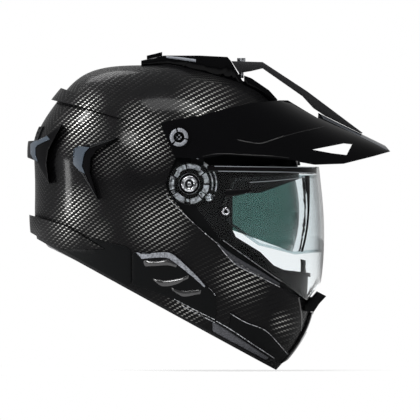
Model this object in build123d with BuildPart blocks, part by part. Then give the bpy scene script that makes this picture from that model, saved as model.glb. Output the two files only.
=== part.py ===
from build123d import *
import math
import os

os.makedirs("parts", exist_ok=True)

# Dual sport helmet in worn attitude. +X is forward, +Y the wearer's left, +Z up.
# The origin is the centre of the head, which carries the helmet.

# Driving dimensions in millimetres
head_length = 200.0
shell_width = 254.0
shell_wall = 4.6
recess_depth = 6.4
frame_wall = 1.8
seat_gap = 0.15
running_gap = 0.4
soft_gap = 0.4
overrun = 60.0

pivot_plate_radius = 22.5
pivot_ear_radius = 8.0
hub_radius = 11.0
hub_shaft_radius = 8.0
hub_bore = 3.6
pivot_plate_sink = 6.0
small_screw_slot = 1.5
lens_pin_shank = 3.4
gasket_rise = 1.2
flare_rise = 6.0
hub_proud = 1.2
small_screw_radius = 4.2
small_screw_height = 1.4
screw_sink = 4.0
hub_seat_radius = 12.0
hub_seat_sink = 0.8
plate_sink = 2.4

shield_width = 252.0
shield_front = 166.0
shield_wall = 2.2
shield_disc_radius = 23.0
shield_sweep = 180.0
lens_gap = 1.2
lens_wall = 1.0
seal_depth = 0.8

visor_radius = 129.0
visor_half_width = 95.0
visor_wall = 1.8
visor_low_angle = -20.0
visor_high_angle = 15.0
visor_turn = 38.0
visor_pocket_gap = 1.2
visor_pin_radius = 4.0
visor_pin_length = 9.0

peak_wall = 3.0
peak_half_width = 131.0
peak_window = 124.0
peak_boss_radius = 12.5
strut_width = 60.0
strut_slot_width = 9.0
screw_radius = 9.5
screw_shank = 4.0
screw_height = 3.2
top_screw_radius = 4.5
top_screw_height = 3.6
top_screw_shank = 2.5
top_screw_length = 18.0

crown_mount_width = 64.0
crown_slider_width = 24.0
forehead_vent_width = 70.0

cavity_half_width = 79.0
cavity_height = 102.0
pad_wall = 8.0
cheek_gap = 116.0
strap_width = 22.0
strap_wall = 2.0
strap_slot_gap = 1.6
ring_radius = 13.0
ring_wire = 1.8
ring_offset = 2.0
ring_gap = 1.2
rivet_radius = 2.6
rivet_plate_radius = 7.0
rivet_head_radius = 5.0
rivet_head_wall = 1.4
rivet_room = 1.0
tab_width = 16.0
tab_wall = 2.4

trim_rise = 1.6
cover_rise = 3.2
fin_rise = 6.5
bridge_rise = 8.0
spoiler_rise = 8.0
rubber_height = 3.0
chin_liner_wall = 14.0
neck_roll_wall = 20.0
guard_half_width = 32.0
curtain_wall = 3.0
scoop_width = 92.0
chin_frame_width = 46.0
chin_mouth_width = 30.0
flap_gap = 0.8
mesh_wall = 1.6
mesh_hole = 3.2
mesh_pitch = 5.0
track_length = 52.0
track_width = 7.0
track_rise = 2.0
lever_length = 16.0
lever_height = 7.0

visor_pocket_angle = 2.0
visor_ear_radius = 9.0
visor_ear_rise = 0.6
cheek_corner = 8.0
cover_corner = 3.0
guard_wall = 2.0
screw_ring_outer = 7.4
screw_ring_inner = 5.2
screw_slot = 1.4
flap_pin_radius = 1.6
strap_inset = 6.8
strap_drop_share = 0.82
tab_inset = 6.0
exhaust_reach = 38.0

head_reach = head_length / 2
side_reach = shell_width / 2
half_span = side_reach + overrun
tilt_share = 0.2126
tilt_rad = math.atan(tilt_share)

# Sections of the shell on planes tilted nose down: height, rear and front as shares of the
# head's half length, width as a share of the shell's half width, corner as an exponent.
section_shares = [
    (-1.78, -1.00, 1.16, 0.74, 2.0),
    (-1.43, -1.24, 1.41, 0.85, 2.1),
    (-1.08, -1.42, 1.55, 0.92, 2.2),
    (-0.72, -1.49, 1.59, 0.965, 2.3),
    (-0.36, -1.49, 1.58, 0.99, 2.35),
    (0.00, -1.50, 1.55, 1.00, 2.35),
    (0.34, -1.42, 1.50, 0.975, 2.3),
    (0.64, -1.24, 1.44, 0.90, 2.3),
    (0.90, -1.04, 1.35, 0.77, 2.2),
    (1.12, -0.68, 1.21, 0.57, 2.2),
    (1.29, -0.12, 0.75, 0.25, 2.2),
]
crown_share = 1.29
longest_share = 1.58
shield_shares = [
    (-1.45, -0.22), (-1.10, -0.04), (-0.75, 0), (-0.35, 0), (0.0, -0.03), (0.35, -0.07), (0.70, -0.14),
]
shield_corner = 2.6
outline_steps = 12


def at(x_share, z_share):
    """A point of the side view, from shares of the head's half length."""
    return (x_share * head_reach, z_share * head_reach)


def side_points(shares):
    return [at(x_share, z_share) for x_share, z_share in shares]


def section_points(rear, front, half_width, corner):
    """Half of an egg-shaped section, from its front point round the side to its rear point."""
    points = []
    power = 2 / corner
    for step in range(outline_steps + 1):
        angle = math.pi * step / outline_steps
        along = math.cos(angle)
        reach = front if along >= 0 else -rear
        x = math.copysign(abs(along) ** power * reach, along)
        points.append((x, half_width * max(math.sin(angle), 0) ** power))
    return points


def egg_section(plane, rear, front, half_width, corner):
    """The half of a section on the wearer's right, closed along the middle of the helmet."""
    points = [(x, -y) for x, y in section_points(rear, front, half_width, corner)]
    with BuildSketch(plane) as section:
        with BuildLine():
            Spline(*points, tangents=[(0, -1), (0, 1)], tangent_scalars=(1, 1))
            Line(points[-1], points[0])
        make_face()
    return section.sketch


def helmet_body(inset):
    """The right half of the shell's outer form, drawn in by inset on every side."""
    length_scale = 1 - inset / (longest_share * head_reach)
    width_scale = 1 - inset / side_reach
    height_scale = 1 - inset / (crown_share * head_reach)
    sections = []
    for height_share, rear_share, front_share, width_share, corner in section_shares:
        height = height_share * head_reach
        if height > 0:
            height = height * height_scale
        x_dir = (math.cos(tilt_rad), 0, -math.sin(tilt_rad))
        z_dir = (math.sin(tilt_rad), 0, math.cos(tilt_rad))
        plane = Plane(origin=(0, 0, height), x_dir=x_dir, z_dir=z_dir)
        rear = rear_share * head_reach * length_scale
        front = front_share * head_reach * length_scale
        half_width = width_share * side_reach * width_scale
        sections.append(egg_section(plane, rear, front, half_width, corner))
    with BuildPart() as body:
        loft(sections=[section.face() for section in sections])
    return body.part


bodies_by_inset = {}


def body_at(inset):
    if inset not in bodies_by_inset:
        bodies_by_inset[inset] = helmet_body(inset)
    return bodies_by_inset[inset]


def side_plane(x, y, z):
    """A plane that looks from the wearer's right, its own Y up."""
    return Plane((x, y, z), x_dir=(1, 0, 0), z_dir=(0, -1, 0))


def side_prism(shares, low, high, corner=0):
    """A prism with the outline of a side view, from low to high along Y."""
    with BuildPart() as prism:
        with BuildSketch(side_plane(0, high, 0)) as outline:
            with BuildLine():
                Polyline(*side_points(shares), close=True)
            make_face()
            if corner:
                fillet(outline.vertices(), corner)
        extrude(amount=high - low)
    return prism.part


def y_cylinder(place_shares, radius, low, high):
    x, z = at(*place_shares)
    with BuildPart() as cylinder:
        with BuildSketch(side_plane(x, high, z)):
            Circle(radius)
        extrude(amount=high - low)
    return cylinder.part


def layer(shares, inner_inset, outer_inset, low, high, corner=0):
    """A slice of the wall between two insets, inside the outline of a side view."""
    with BuildPart() as slice_part:
        add(side_prism(shares, low, high, corner))
        add(body_at(outer_inset), mode=Mode.INTERSECT)
        add(body_at(inner_inset), mode=Mode.SUBTRACT)
    return slice_part.part


def finish(part, name):
    part.label = name
    export_step(part, f"parts/{name}.step")
    print(name, len(part.solids()), round(part.volume))


def finish_pair(right_part, name):
    """Write a piece of the wearer's right side and its mirror image on the left."""
    finish(right_part, f"{name}_right")
    with BuildPart() as left_side:
        add(right_part)
        mirror(about=Plane.XZ, mode=Mode.REPLACE)
    finish(left_side.part, f"{name}_left")


# Outlines of the side view, as shares of the head's half length
base_slope_share = 0.5486
base_rise_share = -1.349


def base_height_share(x_share, lift_share=0):
    """Height of the lower rim at a place along the helmet."""
    return base_rise_share - base_slope_share * x_share + lift_share


def above_base(lift_share=0, rear_share=-2.0, front_share=2.0, top_share=2.4):
    return [
        (rear_share, base_height_share(rear_share, lift_share)),
        (front_share, base_height_share(front_share, lift_share)),
        (front_share, top_share),
        (rear_share, top_share),
    ]


track_centre_share = 0.12
track_lift_share = 0.06
slope_rad = math.atan(base_slope_share)


def rim_block(centre_share, lift_share, length, width):
    """Outline of a block that lies along the lower rim, as points of the side view."""
    x, z = at(centre_share, base_height_share(centre_share, lift_share))
    corners = []
    for along, across in ((-1, -1), (1, -1), (1, 1), (-1, 1)):
        step_x = along * length / 2 * math.cos(slope_rad) + across * width / 2 * math.sin(slope_rad)
        step_z = across * width / 2 * math.cos(slope_rad) - along * length / 2 * math.sin(slope_rad)
        corners.append(((x + step_x) / head_reach, (z + step_z) / head_reach))
    return corners


recess_shares = [
    (0.065, 0.28), (-0.05, 0.01), (-0.01, -0.11), (0.08, -0.22), (0.19, -0.36), (0.35, -0.51),
    (0.485, -0.60), (0.52, -0.64), (0.69, -0.83), (1.19, -1.10), (1.40, -1.22), (2.0, -1.22),
    (2.0, 0.32), (1.40, 0.38), (1.10, 0.62), (0.75, 0.76), (0.42, 0.68), (0.20, 0.44),
]
frame_shares = [
    (0.00, 0.34), (-0.13, 0.02), (-0.09, -0.15), (0.02, -0.28), (0.13, -0.42), (0.30, -0.58),
    (0.43, -0.67), (0.64, -0.92), (1.16, -1.18), (1.38, -1.30), (2.0, -1.30),
    (2.0, 0.40), (1.42, 0.46), (1.12, 0.70), (0.75, 0.84), (0.36, 0.75), (0.13, 0.50),
]
curtain_lift_share = 0.06
flap_pin_shares = (1.429, -1.575)
tab_lift_share = 0.10
liner_lift_share = 0.10
lever_centre_share = 0.20
tab_centre_share = 0.43
exhaust_centre_shares = (-1.45, 0.55)
exhaust_shares = [(-1.80, 0.40), (-1.25, 0.48), (-1.25, 0.62), (-1.80, 0.62)]
exhaust_room_shares = [(-1.80, 0.397), (-1.247, 0.477), (-1.247, 0.623), (-1.80, 0.623)]
port_shares = [
    (0.675, -0.097), (0.675, -0.50), (0.71, -0.57), (0.97, -0.73), (1.12, -0.88), (1.24, -0.93),
    (2.0, -1.02), (2.0, 0.27), (1.36, 0.043), (0.97, -0.097),
]
gasket_inner_shares = [
    (0.675, 0.03), (0.675, -0.50), (0.71, -0.57), (0.97, -0.73), (1.12, -0.88), (1.24, -0.93),
    (2.0, -1.02), (2.0, 0.20), (1.30, 0.12),
]
gasket_shares = [
    (0.635, 0.065), (0.635, -0.51), (0.68, -0.60), (0.95, -0.77), (1.10, -0.92), (1.23, -0.97),
    (2.0, -1.06), (2.0, 0.24), (1.30, 0.16),
]
brow_shares = [(0.72, 0.12), (1.30, 0.19), (2.0, 0.27), (2.0, 0.35), (1.30, 0.27), (0.74, 0.20)]
pivot_shares = (0.21, 0)
plate_screw_shares = (0.42, -0.145)
upper_screw_shares = (0.30, 0.31)
lens_pin_shares = (0.60, -0.296)
peak_screw_shares = (0.10, 0.50)
visor_hinge_shares = (0.108, -0.292)
hinge_x, hinge_z = at(*visor_hinge_shares)

floor_inset = recess_depth + frame_wall
liner_inset = floor_inset + soft_gap
shield_side = shield_width / 2
arm_face = shield_side - shield_wall - running_gap
frame_face = side_reach - recess_depth
chin_inset = shell_wall + soft_gap

# Outer shell: twill laminate with the recess, the spoiler and the lower rim
spoiler_shares = [(-1.60, 0.99), (-1.60, 1.20), (-0.56, 0.80), (-0.46, 0.68), (-0.88, 0.81)]
flare_shares = [(-1.70, -0.28), (-1.70, -0.60), (-1.30, -0.70), (-0.70, -0.70), (-1.15, -0.44)]
chin_mouth_shares = [(0.90, -1.41), (2.00, -1.41), (2.00, -1.60), (0.90, -1.60)]
mouth_reach = chin_mouth_width / 2
with BuildPart() as spoiler:
    add(side_prism(spoiler_shares, -half_span, 0))
    add(body_at(0).moved(Location((-spoiler_rise, 0, 0))), mode=Mode.INTERSECT)
with BuildPart() as flare:
    add(side_prism(flare_shares, -half_span, 0))
    add(body_at(0).moved(Location((-flare_rise, 0, 0))), mode=Mode.INTERSECT)
with BuildPart() as outer_shell:
    add(body_at(0))
    add(spoiler.part)
    add(flare.part)
    add(body_at(shell_wall), mode=Mode.SUBTRACT)
    add(side_prism(recess_shares, -half_span, 0), mode=Mode.SUBTRACT)
    add(side_prism(chin_mouth_shares, -mouth_reach, 0), mode=Mode.SUBTRACT)
    add(side_prism(above_base(), -half_span, 0), mode=Mode.INTERSECT)
    add(y_cylinder(peak_screw_shares, screw_shank + seat_gap, -half_span, 0), mode=Mode.SUBTRACT)
    add(y_cylinder(flap_pin_shares, flap_pin_radius / 2 + seat_gap, -mouth_reach - flap_gap * 2, 0),
        mode=Mode.SUBTRACT)
    mirror(about=Plane.XZ)
finish(outer_shell.part, "outer_shell")

# Rubber edging face to face under the lower rim
with BuildPart() as rim_band:
    add(side_prism(above_base(-rubber_height / head_reach), -half_span, 0))
    add(side_prism(above_base(), -half_span, 0), mode=Mode.SUBTRACT)
with BuildPart() as base_trim:
    add(rim_band.part)
    add(body_at(0), mode=Mode.INTERSECT)
    add(body_at(liner_inset), mode=Mode.SUBTRACT)
    mirror(about=Plane.XZ)
finish(base_trim.part, "base_trim")

# Port frame: moulded floor of the recess, its flange held behind the shell
with BuildPart() as port_frame:
    add(layer(frame_shares, floor_inset, shell_wall + seat_gap, -half_span, 0))
    add(layer(recess_shares, recess_depth, 0, -half_span, 0), mode=Mode.SUBTRACT)
    add(side_prism(port_shares, -half_span, 0), mode=Mode.SUBTRACT)
    mirror(about=Plane.XZ)
finish(port_frame.part, "port_frame")

# Port gasket: rubber lip round the eye port, seated on the frame
with BuildPart() as port_gasket:
    add(layer(gasket_shares, recess_depth - seat_gap, shell_wall - gasket_rise, -half_span, 0))
    add(side_prism(gasket_inner_shares, -half_span, 0), mode=Mode.SUBTRACT)
    mirror(about=Plane.XZ)
finish(port_gasket.part, "port_gasket")

# Brow trim: gloss strip above the eye port
with BuildPart() as brow_trim:
    add(layer(brow_shares, recess_depth - seat_gap, shell_wall - trim_rise, -half_span, 0))
    add(side_prism(gasket_shares, -half_span, 0), mode=Mode.SUBTRACT)
    mirror(about=Plane.XZ)
finish(brow_trim.part, "brow_trim")

# Pivot plate: disc with ears for the small screws, seated on the frame
arm_plate_shares = [
    (0.24, 0.30), (0.12, -0.10), (0.20, -0.20), (0.38, -0.215), (0.48, -0.16), (0.46, -0.08),
    (0.36, 0.04), (0.37, 0.30),
]
plate_face = arm_face - screw_sink
hub_seat_face = arm_face - hub_seat_sink
disc_face = arm_face - plate_sink
with BuildPart() as pivot_plate:
    add(y_cylinder(pivot_shares, pivot_plate_radius, -disc_face, -frame_face + pivot_plate_sink))
    add(y_cylinder(pivot_shares, hub_seat_radius, -hub_seat_face, -disc_face))
    add(side_prism(arm_plate_shares, -plate_face, -frame_face + pivot_plate_sink))
    add(y_cylinder(upper_screw_shares, pivot_ear_radius, -plate_face,
                   -frame_face + pivot_plate_sink))
    add(body_at(recess_depth - seat_gap), mode=Mode.SUBTRACT)
    for place_shares in (plate_screw_shares, upper_screw_shares):
        add(y_cylinder(place_shares, small_screw_radius + seat_gap, -half_span,
                       -plate_face + small_screw_height), mode=Mode.SUBTRACT)
    add(y_cylinder(pivot_shares, hub_shaft_radius + seat_gap, -half_span, 0),
        mode=Mode.SUBTRACT)
finish_pair(pivot_plate.part, "pivot_plate")

# Small screws that hold the pivot plates, one group for both sides
with BuildPart() as pivot_plate_screws:
    for place_shares in (plate_screw_shares, upper_screw_shares):
        add(y_cylinder(place_shares, small_screw_radius, -plate_face,
                       -plate_face + small_screw_height))
        add(y_cylinder(place_shares, small_screw_slot, -plate_face,
                       -plate_face + small_screw_height / 2), mode=Mode.SUBTRACT)
    add(body_at(recess_depth - seat_gap), mode=Mode.SUBTRACT)
    mirror(about=Plane.XZ)
finish(pivot_plate_screws.part, "pivot_plate_screws")

# Hub: fixed shaft through the plate and the shield's arm, with a cap outside the arm
cap_inner = shield_side + running_gap
with BuildPart() as pivot_hub:
    add(y_cylinder(pivot_shares, hub_shaft_radius, -cap_inner, -frame_face + seat_gap))
    add(body_at(recess_depth - seat_gap), mode=Mode.SUBTRACT)
    add(y_cylinder(pivot_shares, hub_radius, -cap_inner - hub_proud, -cap_inner))
    add(y_cylinder(pivot_shares, hub_bore, -half_span, -cap_inner), mode=Mode.SUBTRACT)
finish_pair(pivot_hub.part, "pivot_hub")

# Shield: clear wrap-round shell with a disc at each pivot
def shield_body(front, half_width):
    """Right half of the closed form that the clear shield or its insert lens follows."""
    sections = []
    for height_share, front_share in shield_shares:
        plane = Plane.XY.offset(height_share * head_reach)
        reach = front + front_share * head_reach
        sections.append(egg_section(plane, -head_reach, reach, half_width, shield_corner))
    with BuildPart() as body:
        loft(sections=[section.face() for section in sections])
    return body.part


shield_outline_shares = [
    (0.24, 0.205), (0.80, 0.195), (1.40, 0.19), (1.95, 0.18), (1.95, -0.90), (1.66, -1.02),
    (1.59, -1.10), (1.48, -1.255), (1.205, -1.05), (0.54, -0.595), (0.26, -0.215),
]
shield_outer = shield_body(shield_front, shield_side)
shield_inner = shield_body(shield_front - shield_wall, shield_side - shield_wall)
with BuildPart() as shield_profile:
    add(side_prism(shield_outline_shares, -half_span, 0))
    add(y_cylinder(pivot_shares, shield_disc_radius, -half_span, 0))
with BuildPart() as face_shield:
    add(shield_profile.part)
    add(shield_outer, mode=Mode.INTERSECT)
    add(shield_inner, mode=Mode.SUBTRACT)
    add(y_cylinder(pivot_shares, hub_shaft_radius + running_gap, -half_span, 0),
        mode=Mode.SUBTRACT)
    add(y_cylinder(lens_pin_shares, lens_pin_shank + seat_gap, -half_span, 0),
        mode=Mode.SUBTRACT)
    mirror(about=Plane.XZ)
finish(face_shield.part, "face_shield")

# Insert lens inside the shield, its seal round the edge and the two pins that carry it
lens_outline_shares = [
    (0.56, -0.22), (0.70, 0.06), (1.40, 0.10), (1.95, 0.08), (1.95, -0.70), (1.35, -0.76),
    (0.95, -0.66), (0.62, -0.42),
]
lens_inner_shares = [
    (0.60, -0.23), (0.72, 0.03), (1.40, 0.07), (1.95, 0.05), (1.95, -0.67), (1.35, -0.73),
    (0.97, -0.635), (0.655, -0.41),
]
lens_side = shield_side - shield_wall - lens_gap
lens_front = shield_front - shield_wall - lens_gap
with BuildPart() as insert_lens:
    add(side_prism(lens_outline_shares, -half_span, 0))
    add(shield_body(lens_front, lens_side), mode=Mode.INTERSECT)
    add(shield_body(lens_front - lens_wall, lens_side - lens_wall), mode=Mode.SUBTRACT)
    mirror(about=Plane.XZ)
finish(insert_lens.part, "insert_lens")
seal_front = lens_front + seat_gap
seal_side = lens_side + seat_gap
with BuildPart() as insert_seal:
    add(side_prism(lens_outline_shares, -half_span, 0))
    add(side_prism(lens_inner_shares, -half_span, 0), mode=Mode.SUBTRACT)
    add(shield_body(seal_front + seal_depth, seal_side + seal_depth), mode=Mode.INTERSECT)
    add(shield_body(seal_front, seal_side), mode=Mode.SUBTRACT)
    add(y_cylinder(lens_pin_shares, lens_pin_shank + seat_gap, -half_span, 0), mode=Mode.SUBTRACT)
    mirror(about=Plane.XZ)
finish(insert_seal.part, "insert_seal")
with BuildPart() as insert_pins:
    add(y_cylinder(lens_pin_shares, lens_pin_shank, -half_span, 0))
    add(shield_outer, mode=Mode.INTERSECT)
    add(shield_body(seal_front, seal_side), mode=Mode.SUBTRACT)
    mirror(about=Plane.XZ)
finish(insert_pins.part, "insert_pins")

# Sun visor: part of a dome turned about the axis of its pins
def visor_profile(radius, half_width):
    """Half of the visor's meridian, from the pin axis round to the middle of the helmet."""
    points = []
    for step in range(outline_steps + 1):
        angle = math.pi / 2 * step / outline_steps
        reach = radius * max(math.sin(angle), 0) ** visor_power_share
        points.append((reach, -half_width * max(math.cos(angle), 0) ** visor_power_share))
    return points


def visor_dome(radius, half_width):
    points = visor_profile(radius, half_width)
    with BuildPart() as dome:
        with BuildSketch(Plane((hinge_x, 0, hinge_z), x_dir=(1, 0, 0), z_dir=(0, 0, 1))):
            with BuildLine():
                Spline(*points, tangents=[(1, 0), (0, 1)], tangent_scalars=(1, 1))
                Line(points[-1], (0, 0))
                Line((0, 0), points[0])
            make_face()
        revolve(axis=Axis((hinge_x, 0, hinge_z), (0, 1, 0)))
    return dome.part


def visor_sector(low_angle, high_angle, radius):
    """A wedge about the visor's axis between two angles above straight ahead."""
    with BuildPart() as sector:
        with BuildSketch(side_plane(hinge_x, 0, hinge_z)):
            with BuildLine():
                start = (radius * math.cos(low_angle), radius * math.sin(low_angle))
                middle_angle = (low_angle + high_angle) / 2
                middle = (radius * math.cos(middle_angle), radius * math.sin(middle_angle))
                end = (radius * math.cos(high_angle), radius * math.sin(high_angle))
                Line((0, 0), start)
                ThreePointArc(start, middle, end)
                Line(end, (0, 0))
            make_face()
        extrude(amount=half_span)
    return sector.part


visor_power_share = 0.66
low_rad = math.radians(visor_low_angle)
high_rad = math.radians(visor_high_angle)
turned_rad = math.radians(visor_high_angle + visor_turn + visor_pocket_angle)
pocket_low_rad = math.radians(visor_low_angle - visor_pocket_angle)
visor_outer = visor_dome(visor_radius, visor_half_width)
visor_inner = visor_dome(visor_radius - visor_wall, visor_half_width - visor_wall)
visor_sweep_radius = visor_radius + visor_pocket_gap * 2
ear_outer = visor_half_width + visor_ear_rise
ear_inner = visor_half_width - visor_wall - visor_ear_rise
with BuildPart() as visor_pocket:
    add(visor_dome(visor_radius + visor_pocket_gap, visor_half_width + visor_pocket_gap))
    add(visor_dome(visor_radius - visor_wall - visor_pocket_gap,
                   visor_half_width - visor_wall - visor_pocket_gap), mode=Mode.SUBTRACT)
    add(visor_sector(pocket_low_rad, turned_rad, visor_sweep_radius), mode=Mode.INTERSECT)
with BuildPart() as sun_visor:
    add(visor_outer)
    add(visor_inner, mode=Mode.SUBTRACT)
    add(visor_sector(low_rad, high_rad, visor_sweep_radius), mode=Mode.INTERSECT)
    add(y_cylinder(visor_hinge_shares, visor_ear_radius, -ear_outer, -ear_inner))
    add(y_cylinder(visor_hinge_shares, visor_pin_radius + seat_gap, -half_span, 0),
        mode=Mode.SUBTRACT)
    mirror(about=Plane.XZ)
finish(sun_visor.part, "sun_visor")
with BuildPart() as sun_visor_pivots:
    add(y_cylinder(visor_hinge_shares, visor_pin_radius,
                   -visor_half_width - visor_pin_length / 2,
                   -visor_half_width + visor_pin_length / 2))
    mirror(about=Plane.XZ)
finish(sun_visor_pivots.part, "sun_visor_pivots")

# Head cavity: the room that the head takes, rounded over the crown
cavity_shares = [
    (-1.30, -0.88, 0.90, 0.90), (-0.70, -0.96, 0.97, 0.98), (0.0, -1.0, 1.0, 1.0),
    (0.40, -0.95, 0.94, 0.95), (0.72, -0.76, 0.74, 0.76), (0.92, -0.48, 0.46, 0.48),
    (1.0, -0.20, 0.18, 0.20),
]


def cavity(inset):
    """Right half of the room inside the liner, drawn in by inset."""
    sections = []
    for height_share, rear_share, front_share, width_share in cavity_shares:
        height = height_share * cavity_height
        if height > 0:
            height = height_share * (cavity_height - inset)
        rear = rear_share * (head_reach - inset)
        front = front_share * (head_reach - inset)
        half_width = width_share * (cavity_half_width - inset)
        plane = Plane.XY.offset(height)
        sections.append(egg_section(plane, rear, front, half_width, cavity_corner))
    with BuildPart() as room:
        loft(sections=[section.face() for section in sections])
    return room.part


cavity_corner = 2.1
liner_shares = [
    (-1.80, -0.14), (-0.75, -0.40), (-0.34, -0.46), (0.56, -0.46), (0.60, -0.30), (0.60, 0.10),
    (0.90, 0.20), (1.90, 0.30), (1.90, 2.20), (-1.80, 2.20),
]
with BuildPart() as impact_liner:
    add(side_prism(liner_shares, -half_span, 0))
    add(body_at(liner_inset), mode=Mode.INTERSECT)
    add(cavity(0), mode=Mode.SUBTRACT)
    add(visor_pocket.part, mode=Mode.SUBTRACT)
    add(y_cylinder(visor_hinge_shares, visor_ear_radius + visor_pocket_gap,
                   -ear_outer - visor_pocket_gap, -ear_inner + visor_pocket_gap),
        mode=Mode.SUBTRACT)
    add(y_cylinder(visor_hinge_shares, visor_pin_radius + seat_gap,
                   -visor_half_width - visor_pin_length, 0), mode=Mode.SUBTRACT)
    mirror(about=Plane.XZ)
finish(impact_liner.part, "impact_liner")

# Comfort lining of the dome
pad_shares = [(-1.20, 0.12), (1.20, 0.42), (1.20, 1.40), (-1.20, 1.40)]
with BuildPart() as crown_pad:
    add(side_prism(pad_shares, -half_span, 0))
    add(cavity(soft_gap), mode=Mode.INTERSECT)
    add(cavity(pad_wall), mode=Mode.SUBTRACT)
    mirror(about=Plane.XZ)
finish(crown_pad.part, "crown_pad")

# Path of the chin strap, which also gives the slot in each cheek pad
anchor_shares = (-0.14, -0.56)
strap_x, anchor_z = at(*anchor_shares)
strap_shares = [(1.0, 0.075), (1.0, -0.08), (0.95, -0.34), (0.80, -0.50), (0.52, -0.5475)]
strap_reach = side_reach - shell_wall - strap_inset
strap_drop = side_reach * strap_drop_share
strap_face = strap_reach + strap_wall / 2
strap_back = strap_reach - strap_wall / 2
head_reach_in = strap_back - seat_gap - rivet_head_wall


def strap_band(side, width, wall):
    """Webbing along the strap's path, square to its direction."""
    path = [(side * y_share * strap_reach, anchor_z + z_share * strap_drop)
            for y_share, z_share in strap_shares]
    with BuildPart() as band:
        with BuildSketch(Plane((strap_x - width / 2, 0, 0), x_dir=(0, 1, 0), z_dir=(1, 0, 0))):
            with BuildLine():
                centre = Polyline(*path)
                offset(centre, amount=wall / 2, side=Side.BOTH, closed=True)
            make_face()
        extrude(amount=width)
    return band.part


# Cheek pads fill the sides below the liner, with the room for the face between them
cheek_shares = [
    (-0.30, -0.48), (0.28, -0.48), (0.60, -0.56), (0.95, -0.90), (0.86, -1.26), (0.46, -1.40),
    (0.04, -1.06), (-0.42, -0.94), (-0.44, -0.62),
]
cheek_room = cheek_gap / 2
tab_inner = liner_inset + tab_inset
tab_outer = tab_inner - tab_wall
tab_shares = rim_block(tab_centre_share, tab_lift_share, tab_width, tab_width)
tab_room_shares = rim_block(tab_centre_share, tab_lift_share, tab_width + soft_gap * 2,
                            tab_width + soft_gap * 2)
with BuildPart() as cheek_pad:
    add(side_prism(cheek_shares, -half_span, -cheek_room, cheek_corner))
    add(body_at(liner_inset), mode=Mode.INTERSECT)
    add(strap_band(-1, strap_width + strap_slot_gap, strap_wall + strap_slot_gap),
        mode=Mode.SUBTRACT)
    add(y_cylinder(anchor_shares, rivet_plate_radius + rivet_room, -half_span,
                   -head_reach_in + rivet_room), mode=Mode.SUBTRACT)
    add(layer(tab_room_shares, tab_inner + soft_gap, tab_outer - soft_gap, -half_span, 0),
        mode=Mode.SUBTRACT)
finish_pair(cheek_pad.part, "cheek_pad")

# Neck roll along the rear of the lower rim
roll_shares = [
    (-1.90, -0.20), (-0.80, -0.44), (-0.50, -0.52), (-0.50, -1.00), (-0.95, -0.86),
    (-1.90, -0.40),
]
with BuildPart() as neck_roll:
    add(layer(roll_shares, liner_inset + neck_roll_wall, liner_inset, -half_span, 0))
    mirror(about=Plane.XZ)
finish(neck_roll.part, "neck_roll")

# Foam bar behind the chin guard, with the air mouth through it
chin_liner_shares = [(1.00, -1.34), (1.90, -1.34), (1.90, -1.76), (1.10, -1.90), (0.92, -1.75)]
with BuildPart() as chin_liner:
    add(layer(chin_liner_shares, chin_inset + chin_liner_wall, chin_inset, -half_span, 0))
    add(side_prism(chin_mouth_shares, -mouth_reach, 0), mode=Mode.SUBTRACT)
    add(side_prism(above_base(liner_lift_share), -half_span, 0), mode=Mode.INTERSECT)
    mirror(about=Plane.XZ)
finish(chin_liner.part, "chin_liner")

# Breath guard over the nose and the cloth curtain under the chin
guard_shares = [(1.28, -1.32), (1.22, -0.98), (1.37, -0.80), (1.60, -0.86), (1.60, -1.32)]
with BuildPart() as breath_guard:
    add(layer(guard_shares, liner_inset + guard_wall, liner_inset, -guard_half_width, 0))
    mirror(about=Plane.XZ)
finish(breath_guard.part, "breath_guard")
curtain_rear_share = 0.78
with BuildPart() as curtain_slab:
    add(side_prism(above_base(curtain_lift_share, curtain_rear_share), -half_span, 0))
    add(side_prism(above_base(curtain_lift_share + curtain_wall / head_reach), -half_span, 0),
        mode=Mode.SUBTRACT)
with BuildPart() as chin_curtain:
    add(curtain_slab.part)
    add(body_at(chin_inset), mode=Mode.INTERSECT)
    mirror(about=Plane.XZ)
finish(chin_curtain.part, "chin_curtain")

# Trims and covers: slices that stand proud of the shell
rear_trim_shares = [
    (-1.90, -0.36), (-1.38, -0.49), (-1.07, -0.535), (-0.48, -0.67), (-0.415, -0.72),
    (-0.415, -1.06), (-0.48, -1.10), (-1.05, -0.80), (-1.27, -0.66), (-1.90, -0.50),
]
side_cover_shares = [
    (-0.40, -0.73), (-0.28, -0.745), (0.03, -0.73), (0.25, -0.94), (0.39, -1.08),
    (0.50, -1.21), (0.50, -1.46), (0.08, -1.25), (-0.40, -1.08),
]
chin_trim_shares = [
    (0.66, -1.37), (0.815, -1.48), (1.03, -1.56), (1.29, -1.83), (1.20, -1.93), (0.64, -1.58),
]
with BuildPart() as rear_trim:
    add(layer(rear_trim_shares, -seat_gap, -trim_rise, -half_span, 0))
    add(flare.part, mode=Mode.SUBTRACT)
    add(side_prism(above_base(), -half_span, 0), mode=Mode.INTERSECT)
    mirror(about=Plane.XZ)
finish(rear_trim.part, "rear_trim")
with BuildPart() as side_cover:
    add(layer(side_cover_shares, -seat_gap, -cover_rise, -half_span, 0, cover_corner))
    add(side_prism(above_base(), -half_span, 0), mode=Mode.INTERSECT)
finish_pair(side_cover.part, "side_cover")
frame_reach = chin_frame_width / 2
with BuildPart() as chin_trim:
    add(layer(chin_trim_shares, -seat_gap, -trim_rise, -half_span, -frame_reach - seat_gap))
    add(side_prism(above_base(), -half_span, 0), mode=Mode.INTERSECT)
finish_pair(chin_trim.part, "chin_trim")

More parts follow.
